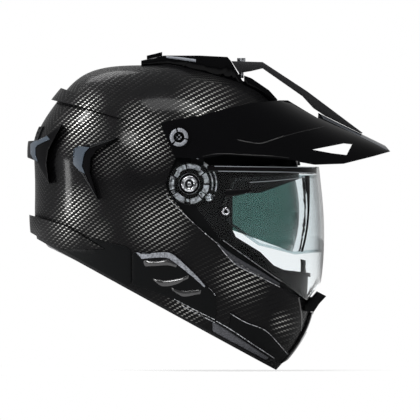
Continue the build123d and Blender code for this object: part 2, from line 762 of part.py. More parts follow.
# Rear fins stand on the shell, the rearmost pair joined by a bridge over the exhaust
fin_shares = [
    (-0.56, 0.50), (-0.89, 0.42), (-1.03, 0.38), (-1.04, 0.21), (-0.95, 0.13), (-0.77, -0.17),
    (-0.86, 0.12), (-0.85, 0.27), (-0.79, 0.36),
]
rear_fin_shares = [
    (-1.16, 0.64), (-1.40, 0.47), (-1.60, 0.46), (-1.60, 0.31), (-1.45, 0.25), (-1.30, 0.0),
    (-1.33, 0.22), (-1.31, 0.36),
]
with BuildPart() as rear_fin:
    add(layer(fin_shares, -seat_gap, -fin_rise, -half_span, 0))
finish_pair(rear_fin.part, "rear_fin")
with BuildPart() as rear_bridge:
    add(layer(rear_fin_shares, -seat_gap, -bridge_rise, -half_span, 0))
    add(layer(exhaust_room_shares, 0, -mesh_wall - seat_gap, -exhaust_reach - seat_gap, 0),
        mode=Mode.SUBTRACT)
    mirror(about=Plane.XZ)
finish(rear_bridge.part, "rear_bridge")

# Crown mount: moulded intake block that the strut joins
mount_shares = [
    (-0.31, 1.10), (-0.31, 1.33), (-0.065, 1.385), (0.32, 1.385), (0.62, 1.37), (0.655, 1.33),
    (0.79, 1.10), (0.79, 0.90), (-0.31, 0.90),
]
mount_reach = crown_mount_width / 2
top_screw_place_share = 0.77
top_screw_seat_share = 1.324
with BuildPart() as crown_mount:
    add(side_prism(mount_shares, -mount_reach, 0))
    add(body_at(-seat_gap), mode=Mode.SUBTRACT)
    mirror(about=Plane.XZ)
    with Locations((top_screw_place_share * head_reach, 0, top_screw_seat_share * head_reach)):
        Cylinder(top_screw_shank + seat_gap, head_reach, mode=Mode.SUBTRACT)
finish(crown_mount.part, "crown_mount")
slider_shares = [(-0.25, 1.3475), (-0.085, 1.3845), (-0.085, 1.425), (-0.25, 1.385)]
with BuildPart() as crown_vent_slider:
    add(side_prism(slider_shares, -crown_slider_width / 2, crown_slider_width / 2))
finish(crown_vent_slider.part, "crown_vent_slider")
forehead_shares = [
    (0.80, 1.02), (0.80, 1.17), (0.88, 1.14), (1.07, 1.01), (1.16, 0.91), (1.10, 0.80),
]
forehead_reach = forehead_vent_width / 2
with BuildPart() as forehead_vent:
    add(side_prism(forehead_shares, -forehead_reach, 0))
    add(body_at(-seat_gap), mode=Mode.SUBTRACT)
    mirror(about=Plane.XZ)
finish(forehead_vent.part, "forehead_vent")

# Peak: arched shell, its wings reaching back to the side screws, open over the forehead
peak_shares = [
    (-0.16, 1.0, 1.55), (0.30, 1.0, 1.50), (0.75, 0.99, 1.28), (1.15, 0.94, 1.03),
    (1.56, 0.82, 0.79), (1.90, 0.65, 0.62), (2.20, 0.48, 0.475), (2.40, 0.38, 0.38),
]
peak_outline_shares = [
    (-0.10, 0.65), (-0.01, 0.43), (0.065, 0.28), (0.35, 0.27), (0.58, 0.31), (0.86, 0.295),
    (1.285, 0.26), (1.57, 0.21), (1.88, 0.22), (2.20, 0.30), (2.376, 0.35), (2.31, 0.43),
    (2.03, 0.62), (1.70, 0.80), (1.56, 0.86), (1.40, 0.90), (1.18, 0.90), (1.09, 0.89),
    (0.875, 0.87), (0.60, 0.805), (0.32, 0.73), (0.00, 0.68),
]
peak_slot_shares = [(1.52, 0.37), (1.88, 0.44), (1.97, 0.43), (1.91, 0.31), (1.74, 0.33)]
peak_base_share = 0.0


def arch_section(x, half_width, height, base):
    """Right half of an arch across the helmet, standing on its base."""
    points = []
    for step in range(outline_steps + 1):
        angle = math.pi / 2 * step / outline_steps
        side = -half_width * max(math.cos(angle), 0) ** arch_power_share
        points.append((side, base + (height - base) * max(math.sin(angle), 0) ** arch_power_share))
    with BuildSketch(Plane((x, 0, 0), x_dir=(0, 1, 0), z_dir=(1, 0, 0))) as section:
        with BuildLine():
            Spline(*points, tangents=[(0, 1), (1, 0)], tangent_scalars=(1, 1))
            Line(points[-1], (0, base))
            Line((0, base), points[0])
        make_face()
    return section.sketch


def peak_body(inset):
    sections = []
    for x_share, width_share, top_share in peak_shares:
        half_width = width_share * peak_half_width - inset
        height = top_share * head_reach - inset
        sections.append(arch_section(x_share * head_reach, half_width, height,
                                     peak_base_share * head_reach))
    with BuildPart() as arch:
        loft(sections=[section.face() for section in sections])
    return arch.part


arch_power_share = 0.70
peak_boss_face = peak_half_width + seat_gap
window_reach = peak_window / 2
window_shares = [(-1.0, -0.5), (1.60, -0.5), (1.60, 2.0), (-1.0, 2.0)]
peak_outer = peak_body(0)
with BuildPart() as peak_boss:
    add(y_cylinder(peak_screw_shares, peak_boss_radius, -peak_boss_face, -side_reach / 2))
    add(body_at(-seat_gap), mode=Mode.SUBTRACT)
with BuildPart() as peak:
    add(peak_outer)
    add(peak_body(peak_wall), mode=Mode.SUBTRACT)
    add(side_prism(peak_outline_shares, -half_span, 0), mode=Mode.INTERSECT)
    add(side_prism(window_shares, -window_reach, 0), mode=Mode.SUBTRACT)
    add(side_prism(peak_slot_shares, -half_span, 0), mode=Mode.SUBTRACT)
    add(peak_boss.part)
    add(y_cylinder(peak_screw_shares, screw_shank + running_gap, -half_span, 0),
        mode=Mode.SUBTRACT)
    mirror(about=Plane.XZ)
finish(peak.part, "peak")

# Strut: ribbed vane from the crown to the front of the peak
strut_shares = [
    (0.665, 1.325), (1.00, 1.315), (1.48, 1.00), (2.08, 0.55), (2.00, 0.52), (1.55, 0.82),
    (1.43, 0.95), (1.00, 1.25), (0.875, 1.22), (0.745, 1.20),
]
roof_shares = [(1.40, 0.0), (1.56, 0.794), (1.90, 0.626), (2.20, 0.480), (2.40, 0.38), (2.40, 0.0)]
strut_slot_shares = [(1.02, 1.60), (1.02, 1.0), (1.44, 0.70), (1.44, 1.30)]
strut_reach = strut_width / 2
with BuildPart() as peak_strut:
    add(side_prism(strut_shares, -strut_reach, 0))
    add(side_prism(strut_slot_shares, -strut_reach + strut_slot_width,
                   -strut_slot_width), mode=Mode.SUBTRACT)
    add(side_prism(roof_shares, -strut_reach, 0), mode=Mode.SUBTRACT)
    add(crown_mount.part, mode=Mode.SUBTRACT)
    with Locations((top_screw_place_share * head_reach, 0, top_screw_seat_share * head_reach)):
        Cylinder(top_screw_shank + seat_gap, head_reach, mode=Mode.SUBTRACT)
    mirror(about=Plane.XZ)
finish(peak_strut.part, "peak_strut")

# Screws of the peak: two quarter-turn heads at the sides and one on the crown
head_face = peak_boss_face + seat_gap
shank_end = side_reach - shell_wall * 2
with BuildPart() as peak_screw:
    add(y_cylinder(peak_screw_shares, screw_radius, -head_face - screw_height, -head_face))
    add(y_cylinder(peak_screw_shares, screw_shank, -head_face, -shank_end))
    add(y_cylinder(peak_screw_shares, screw_ring_outer, -half_span,
                   -head_face - screw_height / 2), mode=Mode.SUBTRACT)
    add(y_cylinder(peak_screw_shares, screw_ring_inner, -head_face - screw_height,
                   -head_face - screw_height / 2))
    screw_x, screw_z = at(*peak_screw_shares)
    with Locations((screw_x, -head_face - screw_height, screw_z)):
        Box(screw_ring_inner, screw_height / 2, screw_slot, mode=Mode.SUBTRACT)
        Box(screw_slot, screw_height / 2, screw_ring_inner, mode=Mode.SUBTRACT)
finish_pair(peak_screw.part, "peak_screw")
top_face = (top_screw_place_share * head_reach, 0, top_screw_seat_share * head_reach)
with BuildPart() as peak_top_screw:
    with Locations(top_face):
        Cylinder(top_screw_radius, top_screw_height, align=(Align.CENTER, Align.CENTER, Align.MIN))
        Cylinder(top_screw_shank, top_screw_length, align=(Align.CENTER, Align.CENTER, Align.MAX))
finish(peak_top_screw.part, "peak_top_screw")

# Chin vent: scoop, central frame with the mouth, flap and mesh
scoop_shares = [
    (1.45, -1.14), (1.56, -1.145), (1.685, -1.21), (1.61, -1.29), (1.55, -1.38), (1.45, -1.37),
]
chin_frame_shares = [
    (1.40, -1.385), (1.62, -1.385), (1.60, -1.62), (1.45, -1.80), (1.20, -1.94), (1.16, -1.86),
    (1.30, -1.66),
]
scoop_reach = scoop_width / 2
with BuildPart() as chin_scoop:
    add(side_prism(scoop_shares, -scoop_reach, 0))
    add(body_at(-seat_gap), mode=Mode.SUBTRACT)
    add(y_cylinder(pivot_shares, shield_sweep, -half_span, 0), mode=Mode.SUBTRACT)
    mirror(about=Plane.XZ)
finish(chin_scoop.part, "chin_scoop")
with BuildPart() as chin_vent_frame:
    add(layer(chin_frame_shares, -seat_gap, -cover_rise, -frame_reach, 0))
    add(side_prism(chin_mouth_shares, -mouth_reach, 0), mode=Mode.SUBTRACT)
    add(side_prism(above_base(), -half_span, 0), mode=Mode.INTERSECT)
    mirror(about=Plane.XZ)
finish(chin_vent_frame.part, "chin_vent_frame")
flap_shares = [(1.473, -1.435), (1.493, -1.435), (1.439, -1.575), (1.419, -1.575)]
flap_reach = mouth_reach - flap_gap
with BuildPart() as chin_vent_flap:
    add(side_prism(flap_shares, -flap_reach, flap_reach))
    add(y_cylinder(flap_pin_shares, flap_pin_radius, -flap_reach, flap_reach))
    add(y_cylinder(flap_pin_shares, flap_pin_radius / 2, -mouth_reach - flap_gap,
                   mouth_reach + flap_gap))
finish(chin_vent_flap.part, "chin_vent_flap")


def holed_layer(shares, inner_inset, outer_inset, reach, rows, columns, centre_shares, turn):
    """A thin slice of the wall, pierced by a grid of round holes."""
    centre_x, centre_z = at(*centre_shares)
    x_dir = (0, 1, 0)
    z_dir = (math.cos(turn), 0, math.sin(turn))
    with BuildPart() as slice_part:
        add(layer(shares, inner_inset, outer_inset, -reach, 0))
        mirror(about=Plane.XZ)
        with BuildSketch(Plane((centre_x, 0, centre_z), x_dir=x_dir, z_dir=z_dir)):
            with GridLocations(mesh_pitch, mesh_pitch, columns, rows):
                Circle(mesh_hole / 2)
        extrude(amount=overrun, both=True, mode=Mode.SUBTRACT)
    return slice_part.part


chin_mesh_shares = [(1.00, -1.37), (1.80, -1.37), (1.80, -1.64), (1.00, -1.64)]
mesh_inset = chin_inset + chin_liner_wall + seat_gap
chin_mesh = holed_layer(chin_mesh_shares, mesh_inset + mesh_wall, mesh_inset,
                        mouth_reach + mesh_pitch, 3, 5, (1.40, -1.505), 0)
finish(chin_mesh, "chin_vent_mesh")

# Lever of the sun visor on its track at the left edge of the rim
with BuildPart() as rim_track:
    add(layer(rim_block(track_centre_share, track_lift_share, track_length, track_width),
              -seat_gap, -track_rise, -half_span, 0))
    mirror(about=Plane.XZ, mode=Mode.REPLACE)
with BuildPart() as slider_track:
    add(rim_track.part)
finish(slider_track.part, "slider_track")
lever_foot = track_rise + running_gap
with BuildPart() as rim_lever:
    add(layer(rim_block(lever_centre_share, track_lift_share, lever_length, track_width),
              -lever_foot, -lever_foot - lever_height, -half_span, 0))
    mirror(about=Plane.XZ, mode=Mode.REPLACE)
with BuildPart() as sun_visor_slider:
    add(rim_lever.part)
finish(sun_visor_slider.part, "sun_visor_slider")

# Chin strap: two webbing halves riveted inside the shell, double ring on the right half
with BuildPart() as strap:
    add(strap_band(-1, strap_width, strap_wall))
    add(y_cylinder(anchor_shares, rivet_radius + seat_gap, -half_span, -strap_back + strap_wall),
        mode=Mode.SUBTRACT)
finish_pair(strap.part, "strap")
ring_y = -strap_shares[-1][0] * strap_reach + ring_radius + ring_wire + ring_gap
ring_z = anchor_z + strap_shares[-1][1] * strap_drop
with BuildPart() as d_rings:
    for place in (-1, 1):
        with Locations((strap_x, ring_y, ring_z + place * ring_offset)):
            Torus(ring_radius, ring_wire)
finish(d_rings.part, "d_rings")
with BuildPart() as strap_anchors:
    add(y_cylinder(anchor_shares, rivet_plate_radius, -side_reach, -strap_face - seat_gap))
    add(y_cylinder(anchor_shares, rivet_radius, -side_reach, -head_reach_in))
    add(y_cylinder(anchor_shares, rivet_head_radius, -strap_back + seat_gap, -head_reach_in))
    add(body_at(shell_wall + seat_gap), mode=Mode.INTERSECT)
    mirror(about=Plane.XZ)
finish(strap_anchors.part, "strap_anchors")

# Pull tabs that free the cheek pads
with BuildPart() as emergency_tabs:
    add(layer(tab_shares, tab_inner, tab_outer, -half_span, 0))
    mirror(about=Plane.XZ)
finish(emergency_tabs.part, "emergency_tabs")

# Exhaust mesh behind the rear bridge
exhaust = holed_layer(exhaust_shares, -seat_gap, -mesh_wall, exhaust_reach, 3, 13,
                      exhaust_centre_shares, 0)
finish(exhaust, "exhaust_mesh")
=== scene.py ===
"""Dual sport helmet: finishes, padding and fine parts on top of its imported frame.

The file is laid out as a Blender add-on and is run as a script. Lengths are in metres.
"""

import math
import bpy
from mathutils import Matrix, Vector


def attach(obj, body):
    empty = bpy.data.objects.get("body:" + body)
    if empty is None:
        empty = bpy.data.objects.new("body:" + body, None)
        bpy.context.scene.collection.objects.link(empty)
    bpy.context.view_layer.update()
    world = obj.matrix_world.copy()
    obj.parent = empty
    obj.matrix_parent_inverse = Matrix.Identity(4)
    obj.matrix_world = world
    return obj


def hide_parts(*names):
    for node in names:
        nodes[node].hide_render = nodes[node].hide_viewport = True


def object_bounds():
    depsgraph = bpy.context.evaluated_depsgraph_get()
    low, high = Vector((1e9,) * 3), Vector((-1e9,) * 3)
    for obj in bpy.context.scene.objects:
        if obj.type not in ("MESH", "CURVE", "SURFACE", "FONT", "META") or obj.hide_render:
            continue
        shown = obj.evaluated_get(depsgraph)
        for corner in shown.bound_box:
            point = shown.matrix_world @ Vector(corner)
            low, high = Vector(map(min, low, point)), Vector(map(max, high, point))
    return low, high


bl_info = {
    "name": "Dual Sport Helmet",
    "version": (1, 0, 0),
    "blender": (4, 5, 0),
    "location": "3D View > Sidebar > Helmet",
    "description": "Dresses the packed frame of a dual sport helmet",
    "category": "Object",
}

import bmesh
import bpy
from bpy.props import FloatProperty, StringProperty
from mathutils import Matrix, Vector
from mathutils.bvhtree import BVHTree

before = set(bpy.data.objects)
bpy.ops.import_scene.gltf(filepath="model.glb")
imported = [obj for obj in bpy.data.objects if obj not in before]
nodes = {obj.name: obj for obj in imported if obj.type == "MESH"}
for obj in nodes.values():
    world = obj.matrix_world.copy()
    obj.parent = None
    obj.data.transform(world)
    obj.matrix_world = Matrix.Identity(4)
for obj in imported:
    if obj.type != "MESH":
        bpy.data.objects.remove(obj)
cad_low, cad_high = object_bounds()

# Framing of the photograph: its pixel size on the helmet and the pixel of the head's centre
PHOTO_PIXELS = 420
PIXEL = 0.00108
ORIGIN_PIXEL = (170, 184)
MM = 0.001
# Points of the side view are (along, up) in millimetres from the head's centre
PIVOT = (21, 0)
PEAK_SCREW = (10, 50)
LENS_PIN = (60, -29.6)
# The pivot plates' screws and small bosses, with their radius
PLATE_SCREWS = ((42, -14.5, 4.3), (30, 31, 4.2))
PLATE_BOSSES = ((8.5, 11.5, 2.3), (31, 15.5, 2.0), (10, -13.5, 2.6), (33.5, -10.5, 2.2))
# Rays that look for a face start this far outside the CAD box
OUTSIDE = 0.05
# How far from the middle plane the faces lie that rings are turned on, in millimetres
DISC_FACE = 120.0
GUIDE_FACE = 114.0
HUB_FACE = 127.2
PLATE_FACE = 119.3
PIN_FACE = 123.0
DIAL_FACE = 134.0
# Corners this near are one, and turns past the angle stay sharp or are rounded by millimetres
JOIN_WITHIN = 0.01 * MM
SHARP_TURN = math.radians(38)
PIECE_SHARP_TURN = math.radians(40)
NODE_EDGE = 0.5
# Weave: how squarely a face looks sideways or lengthwise to take that side's cloth, and the
# number of tows after which its pattern comes again
SIDEWAYS = 0.42
LENGTHWISE = 0.6
TWILL_REPEAT = 4.0
# Padding: a cover is held this near its backing, gets free over the next stretch, and may swell
# this far. Then come the frames, force and cloth that swell it
PAD_NEAR = 0.004
PAD_FADE = 0.008
PAD_REACH = 0.005
PAD_FRAMES = 20
PAD_PRESSURE = 4.0
PAD_STIFFNESS = 12.0
PAD_BENDING = 0.4
PAD_MASS = 0.3
PAD_STEPS = 6
# Pull tabs: how much of their upper end is sewn in, and how far it goes into the pad
TAB_SEAM = 0.004
TAB_TUCK = 0.003
# Arcs round the pivots: start and sweep in degrees, inner and outer radius in mm. First the ribs
# of the toothed ring
RING_RIBS = (
    (4, 26, 15.4, 21.4),
    (34, 14, 17.2, 20.4),
    (52, 34, 15.8, 21.6),
    (90, 12, 16.4, 19.4),
    (106, 38, 15.2, 21.4),
    (148, 10, 17.6, 21.0),
    (162, 42, 16.4, 21.6),
    (208, 16, 14.2, 18.8),
    (228, 30, 16.0, 21.2),
    (262, 44, 16.6, 21.6),
    (310, 12, 14.4, 19.6),
    (326, 32, 16.0, 21.4),
)
RING_WEBS = (
    (10, 34, 11.9, 15.2),
    (150, 50, 11.9, 16.0),
    (262, 60, 11.9, 15.4),
    (88, 40, 11.9, 15.6),
)
# Slots in front of the ring that guide the shield
GUIDE_SLOTS = (
    (-34, 52, 24.2, 25.6),
    (-30, 46, 28.4, 29.8),
    (-62, 22, 25.0, 28.6),
    (24, 10, 24.2, 29.8),
)
DIAL_SECTORS = (20, 140, 260)
DIAL_SWEEP = 108
# Spots where the weave's float colour is painted bright as painted highlights, as the side
# shows them: along, up, reach in mm, and strength
PAINTED_HIGHLIGHT_SPOTS = (
    (-97, 58, 38, 0.36),
    (-22, 46, 42, 0.42),
    (-68, 27, 30, 0.12),
    (-12, -40, 46, 0.42),
    (8, -20, 28, 0.2),
    (-98, -24, 30, 0.3),
    (-112, -46, 30, 0.2),
    (-77, -52, 22, 0.15),
    (40, 88, 42, 0.3),
    (-86, 88, 22, 0.25),
    (-37, 72, 24, 0.2),
    (78, -100, 38, 0.42),
    (122, -150, 18, 0.4),
    (20, -128, 32, 0.3),
)
# Studio: the paper floor fades to white between two distances, from the share it starts with
FLOOR_SIZE = 30.0
FLOOR_DROP = 0.001
FADE_START = 0.24
FADE_END = 0.42
NEAR_WHITE = 0.72
# How much of the white room gloss shows, and how much of it lights the helmet
ROOM_IN_GLOSS = 0.3
ROOM_LIGHT = 0.25
# Lamps: name, place, aim, width and height, and watts
LAMPS = (
    ("lamp_top", (0.35, -0.6, 2.0), (0.0, 0.0, 0.0), (1.0, 0.5), 36.0),
    ("lamp_rear_high", (-1.6, -0.15, 1.5), (-0.05, 0.0, 0.02), (0.4, 0.5), 42.0),
    ("lamp_side", (-0.7, -2.0, 1.15), (-0.03, -0.1, -0.05), (0.5, 0.5), 24.0),
    ("lamp_rear_low", (-2.0, -0.3, 0.0), (-0.1, -0.05, -0.05), (0.3, 0.4), 22.0),
    ("lamp_far_side", (-0.6, 1.7, 1.8), (0.0, 0.1, 0.0), (0.8, 0.8), 12.0),
)
# A long lens from far off, as the photograph's parallel lines ask for
CAMERA_DISTANCE = 20.0
CAMERA_SENSOR = 36.0
CAMERA_CLIP = 100.0


def linear(hex_text):
    """Linear colour of an sRGB hex value."""
    channels = []
    for start in (0, 2, 4):
        value = int(hex_text[start:start + 2], 16) / 255
        channels.append(value / 12.92 if value <= 0.04045 else ((value + 0.055) / 1.055) ** 2.4)
    return (*channels, 1.0)


def darkened(hex_text, share):
    """Linear colour of an sRGB hex value with only a share of its light."""
    return tuple(channel * share for channel in linear(hex_text)[:3]) + (1.0,)


def add_node(tree, kind, settings=None, inputs=None):
    """Adds a node, sets its options and gives each input its value or its link."""
    made = tree.nodes.new(kind)
    for name, value in (settings or {}).items():
        setattr(made, name, value)
    for name, value in (inputs or {}).items():
        if isinstance(value, bpy.types.NodeSocket):
            tree.links.new(value, made.inputs[name])
        else:
            made.inputs[name].default_value = value
    return made


def start_material(name):
    """An empty node material with that name and its tree."""
    material = bpy.data.materials.new(name)
    material.use_nodes = True
    material.node_tree.nodes.clear()
    return material, material.node_tree


def end_material(tree, surface):
    """Gives the material what its surface shows."""
    add_node(tree, "ShaderNodeOutputMaterial", None, {"Surface": surface})


def moulded_material(name, hex_text, roughness, grain, depth, specular, shade=0.25, spread=0.5):
    """Moulded plastic: a spark-eroded grain breaks up the light.

    shade is how much darker the pits are, and spread how gently they turn into the lands.
    """
    material, tree = start_material(name)
    place = add_node(tree, "ShaderNodeTexCoord").outputs["Object"]
    texture = add_node(tree, "ShaderNodeTexNoise", None,
                       {"Vector": place, "Scale": 1 / grain, "Detail": 4.0, "Roughness": 0.6})
    broad = add_node(tree, "ShaderNodeTexNoise", None,
                     {"Vector": place, "Scale": 1 / (grain * 60), "Detail": 2.0})
    rough = add_node(tree, "ShaderNodeMapRange", None,
                     {"Value": broad.outputs["Fac"], "To Min": roughness * 0.85,
                      "To Max": roughness * 1.15})
    dark = darkened(hex_text, 1 - shade)
    speckle = add_node(tree, "ShaderNodeMapRange", None,
                       {"Value": texture.outputs["Fac"], "From Min": 0.5 - spread,
                        "From Max": 0.5 + spread})
    colour = add_node(tree, "ShaderNodeMix", {"data_type": "RGBA"},
                      {"Factor": speckle.outputs[0], "A": dark, "B": linear(hex_text)})
    bump = add_node(tree, "ShaderNodeBump", None,
                    {"Height": texture.outputs["Fac"], "Strength": 0.6, "Distance": depth})
    shader = add_node(tree, "ShaderNodeBsdfPrincipled", None,
                      {"Base Color": colour.outputs["Result"], "Roughness": rough.outputs[0],
                       "Normal": bump.outputs[0], "Specular IOR Level": specular})
    end_material(tree, shader.outputs[0])
    return material


def gloss_material(name, hex_text, roughness, specular):
    """Polished moulding: near-black, with the faint waviness of lacquer."""
    material, tree = start_material(name)
    place = add_node(tree, "ShaderNodeTexCoord").outputs["Object"]
    # Lacquer runs level in waves of about 17 mm, and handling leaves marks of about 1 mm
    wave = add_node(tree, "ShaderNodeTexNoise", None,
                    {"Vector": place, "Scale": 60.0, "Detail": 1.0})
    dust = add_node(tree, "ShaderNodeTexNoise", None,
                    {"Vector": place, "Scale": 900.0, "Detail": 3.0})
    rough = add_node(tree, "ShaderNodeMapRange", None,
                     {"Value": dust.outputs["Fac"], "To Min": roughness * 0.6,
                      "To Max": roughness * 1.4})
    bump = add_node(tree, "ShaderNodeBump", None,
                    {"Height": wave.outputs["Fac"], "Strength": 0.15, "Distance": 0.0006})
    shader = add_node(tree, "ShaderNodeBsdfPrincipled", None,
                      {"Base Color": linear(hex_text), "Roughness": rough.outputs[0],
                       "Normal": bump.outputs[0], "Specular IOR Level": specular})
    end_material(tree, shader.outputs[0])
    return material


def carbon_material(sizes):
    """2x2 twill of carbon tows under clear coat: floats along one direction catch the light."""
    # Single 2 mm tows are too fine to show, so the floats are drawn at the 3.2 mm that is seen
    material, tree = start_material("carbon_twill_clear_coat")
    place = add_node(tree, "ShaderNodeTexCoord").outputs["Object"]
    normal = add_node(tree, "ShaderNodeNewGeometry").outputs["Normal"]
    parts = add_node(tree, "ShaderNodeSeparateXYZ", None, {0: place}).outputs
    facing = add_node(tree, "ShaderNodeSeparateXYZ", None, {0: normal}).outputs
    across = add_node(tree, "ShaderNodeMath", {"operation": "ABSOLUTE"}, {0: facing[1]})
    along = add_node(tree, "ShaderNodeMath", {"operation": "ABSOLUTE"}, {0: facing[0]})
    side = add_node(tree, "ShaderNodeMath", {"operation": "GREATER_THAN"},
                    {0: across.outputs[0], 1: SIDEWAYS})
    upright = add_node(tree, "ShaderNodeMath", {"operation": "GREATER_THAN"},
                       {0: along.outputs[0], 1: LENGTHWISE})
    flank = add_node(tree, "ShaderNodeCombineXYZ", None, {0: parts[0], 1: parts[2]})
    roof = add_node(tree, "ShaderNodeCombineXYZ", None, {0: parts[0], 1: parts[1]})
    ends = add_node(tree, "ShaderNodeCombineXYZ", None, {0: parts[1], 1: parts[2]})
    rest = add_node(tree, "ShaderNodeMix", {"data_type": "VECTOR"},
                    {"Factor": upright.outputs[0], "A": roof.outputs[0], "B": ends.outputs[0]})
    sheet = add_node(tree, "ShaderNodeMix", {"data_type": "VECTOR"},
                     {"Factor": side.outputs[0], "A": rest.outputs["Result"],
                      "B": flank.outputs[0]})
    flat = add_node(tree, "ShaderNodeSeparateXYZ", None, {0: sheet.outputs["Result"]}).outputs
    # The cloth drapes: its rows climb more steeply towards the rear
    climb = add_node(tree, "ShaderNodeMath", {"operation": "MULTIPLY_ADD"},
                     {0: flat[0], 1: -sizes.row_bend, 2: sizes.row_slope})
    rise = add_node(tree, "ShaderNodeMath", {"operation": "MULTIPLY"},
                    {0: climb.outputs[0], 1: flat[0]})
    row = add_node(tree, "ShaderNodeMath", {"operation": "SUBTRACT"},
                   {0: flat[1], 1: rise.outputs[0]})
    run = add_node(tree, "ShaderNodeMath", {"operation": "MULTIPLY_ADD"},
                   {0: flat[1], 1: sizes.row_slope, 2: flat[0]})
    float_length = sizes.dot_pitch * (1 + sizes.row_slope ** 2) ** 0.5
    row_count = add_node(tree, "ShaderNodeMath", {"operation": "MULTIPLY"},
                         {0: row.outputs[0], 1: 2 / sizes.row_pitch})
    run_count = add_node(tree, "ShaderNodeMath", {"operation": "MULTIPLY"},
                         {0: run.outputs[0], 1: 1 / float_length})
    warp = add_node(tree, "ShaderNodeMath", {"operation": "ADD"},
                    {0: row_count.outputs[0], 1: run_count.outputs[0]})
    weft = add_node(tree, "ShaderNodeMath", {"operation": "SUBTRACT"},
                    {0: row_count.outputs[0], 1: run_count.outputs[0]})
    counts = []
    for tow in (warp, weft):
        counts.append(add_node(tree, "ShaderNodeMath", {"operation": "FLOOR"}, {0: tow.outputs[0]}))
    total = add_node(tree, "ShaderNodeMath", {"operation": "ADD"},
                     {0: counts[0].outputs[0], 1: counts[1].outputs[0]})
    phase = add_node(tree, "ShaderNodeMath", {"operation": "FLOORED_MODULO"},
                     {0: total.outputs[0], 1: TWILL_REPEAT})
    over = add_node(tree, "ShaderNodeMath", {"operation": "LESS_THAN"},
                    {0: phase.outputs[0], 1: 1.5})
    # Each tow is round across its width and arches over the two that it crosses
    domes = []
    for crossing, running, shift in ((0, 1, 0.0), (1, 0, 2.0)):
        tow = (warp, weft)[crossing]
        other = (warp, weft)[running]
        fraction = add_node(tree, "ShaderNodeMath", {"operation": "FRACT"}, {0: tow.outputs[0]})
        width = add_node(tree, "ShaderNodeMath", {"operation": "MULTIPLY"},
                         {0: fraction.outputs[0], 1: math.pi})
        round_width = add_node(tree, "ShaderNodeMath", {"operation": "SINE"},
                               {0: width.outputs[0]})
        travel = add_node(tree, "ShaderNodeMath", {"operation": "ADD"},
                          {0: other.outputs[0], 1: counts[crossing].outputs[0]})
        start = add_node(tree, "ShaderNodeMath", {"operation": "SUBTRACT"},
                         {0: travel.outputs[0], 1: shift})
        float_part = add_node(tree, "ShaderNodeMath", {"operation": "FLOORED_MODULO"},
                              {0: start.outputs[0], 1: TWILL_REPEAT})
        arch = add_node(tree, "ShaderNodeMath", {"operation": "MULTIPLY"},
                        {0: float_part.outputs[0], 1: math.pi / 2})
        round_float = add_node(tree, "ShaderNodeMath", {"operation": "SINE"},
                               {0: arch.outputs[0]})
        domes.append(add_node(tree, "ShaderNodeMath", {"operation": "MULTIPLY"},
                              {0: round_width.outputs[0], 1: round_float.outputs[0]}))
    height = add_node(tree, "ShaderNodeMix", {"data_type": "FLOAT"},
                      {"Factor": over.outputs[0], "A": domes[1].outputs[0],
                       "B": domes[0].outputs[0]})
    crown = add_node(tree, "ShaderNodeMath", {"operation": "MULTIPLY", "use_clamp": True},
                     {0: over.outputs[0], 1: domes[0].outputs[0]})
    sharp = add_node(tree, "ShaderNodeMapRange", {"interpolation_type": "SMOOTHSTEP"},
                     {"Value": crown.outputs[0], "From Min": 0.32, "From Max": 0.68})
    # Float colour is painted bright at the listed spots as painted highlights and stays dark
    # elsewhere, apart from a faint painted sheen that comes and goes over about 45 mm
    painted_sheen = add_node(tree, "ShaderNodeTexNoise", None,
                      {"Vector": place, "Scale": 22.0, "Detail": 2.0}).outputs["Fac"]
    painted_sheen = add_node(tree, "ShaderNodeMapRange", None,
                      {"Value": painted_sheen, "From Min": 0.35, "From Max": 0.75,
                       "To Min": 0.001, "To Max": 0.02}).outputs[0]
    for x, z, reach, gain in PAINTED_HIGHLIGHT_SPOTS:
        away = add_node(tree, "ShaderNodeVectorMath", {"operation": "DISTANCE"},
                        {0: flank.outputs[0], 1: (x * MM, z * MM, 0)})
        highlight_spot = add_node(tree, "ShaderNodeMapRange", {"interpolation_type": "SMOOTHERSTEP"},
                            {"Value": away.outputs["Value"], "From Min": 0.0,
                             "From Max": reach * MM, "To Min": gain, "To Max": 0.0})
        painted_sheen = add_node(tree, "ShaderNodeMath", {"operation": "ADD", "use_clamp": True},
                          {0: painted_sheen, 1: highlight_spot.outputs[0]}).outputs[0]
    # Faces that look forward or back get painted shade: their painted highlights are dimmed
    dull = add_node(tree, "ShaderNodeMapRange", {"interpolation_type": "SMOOTHSTEP"},
                    {"Value": along.outputs[0], "From Min": 0.55, "From Max": 0.95,
                     "To Min": 1.0, "To Max": 0.25})
    lit = add_node(tree, "ShaderNodeMath", {"operation": "MULTIPLY"},
                   {0: painted_sheen, 1: dull.outputs[0]})
    bright = add_node(tree, "ShaderNodeMath", {"operation": "MULTIPLY"},
                      {0: sharp.outputs[0], 1: lit.outputs[0]})
    colour = add_node(tree, "ShaderNodeMix", {"data_type": "RGBA"},
                      {"Factor": bright.outputs[0], "A": linear(sizes.resin_hex),
                       "B": linear(sizes.fibre_hex)})
    metal = add_node(tree, "ShaderNodeMath", {"operation": "MULTIPLY"},
                     {0: sharp.outputs[0], 1: 0.97})
    rough = add_node(tree, "ShaderNodeMapRange", None,
                     {"Value": sharp.outputs[0], "To Min": 0.6, "To Max": 0.4})
    bump = add_node(tree, "ShaderNodeBump", None,
                    {"Height": height.outputs["Result"], "Strength": 0.35, "Distance": 0.0003})
    shader = add_node(tree, "ShaderNodeBsdfPrincipled", None,
                      {"Base Color": colour.outputs["Result"], "Metallic": metal.outputs[0],
                       "Roughness": rough.outputs[0], "Normal": bump.outputs[0],
                       "Specular IOR Level": 0.05, "Coat Weight": 0.25, "Coat Roughness": 0.12,
                       "Coat IOR": 1.2})
    end_material(tree, shader.outputs[0])
    return material


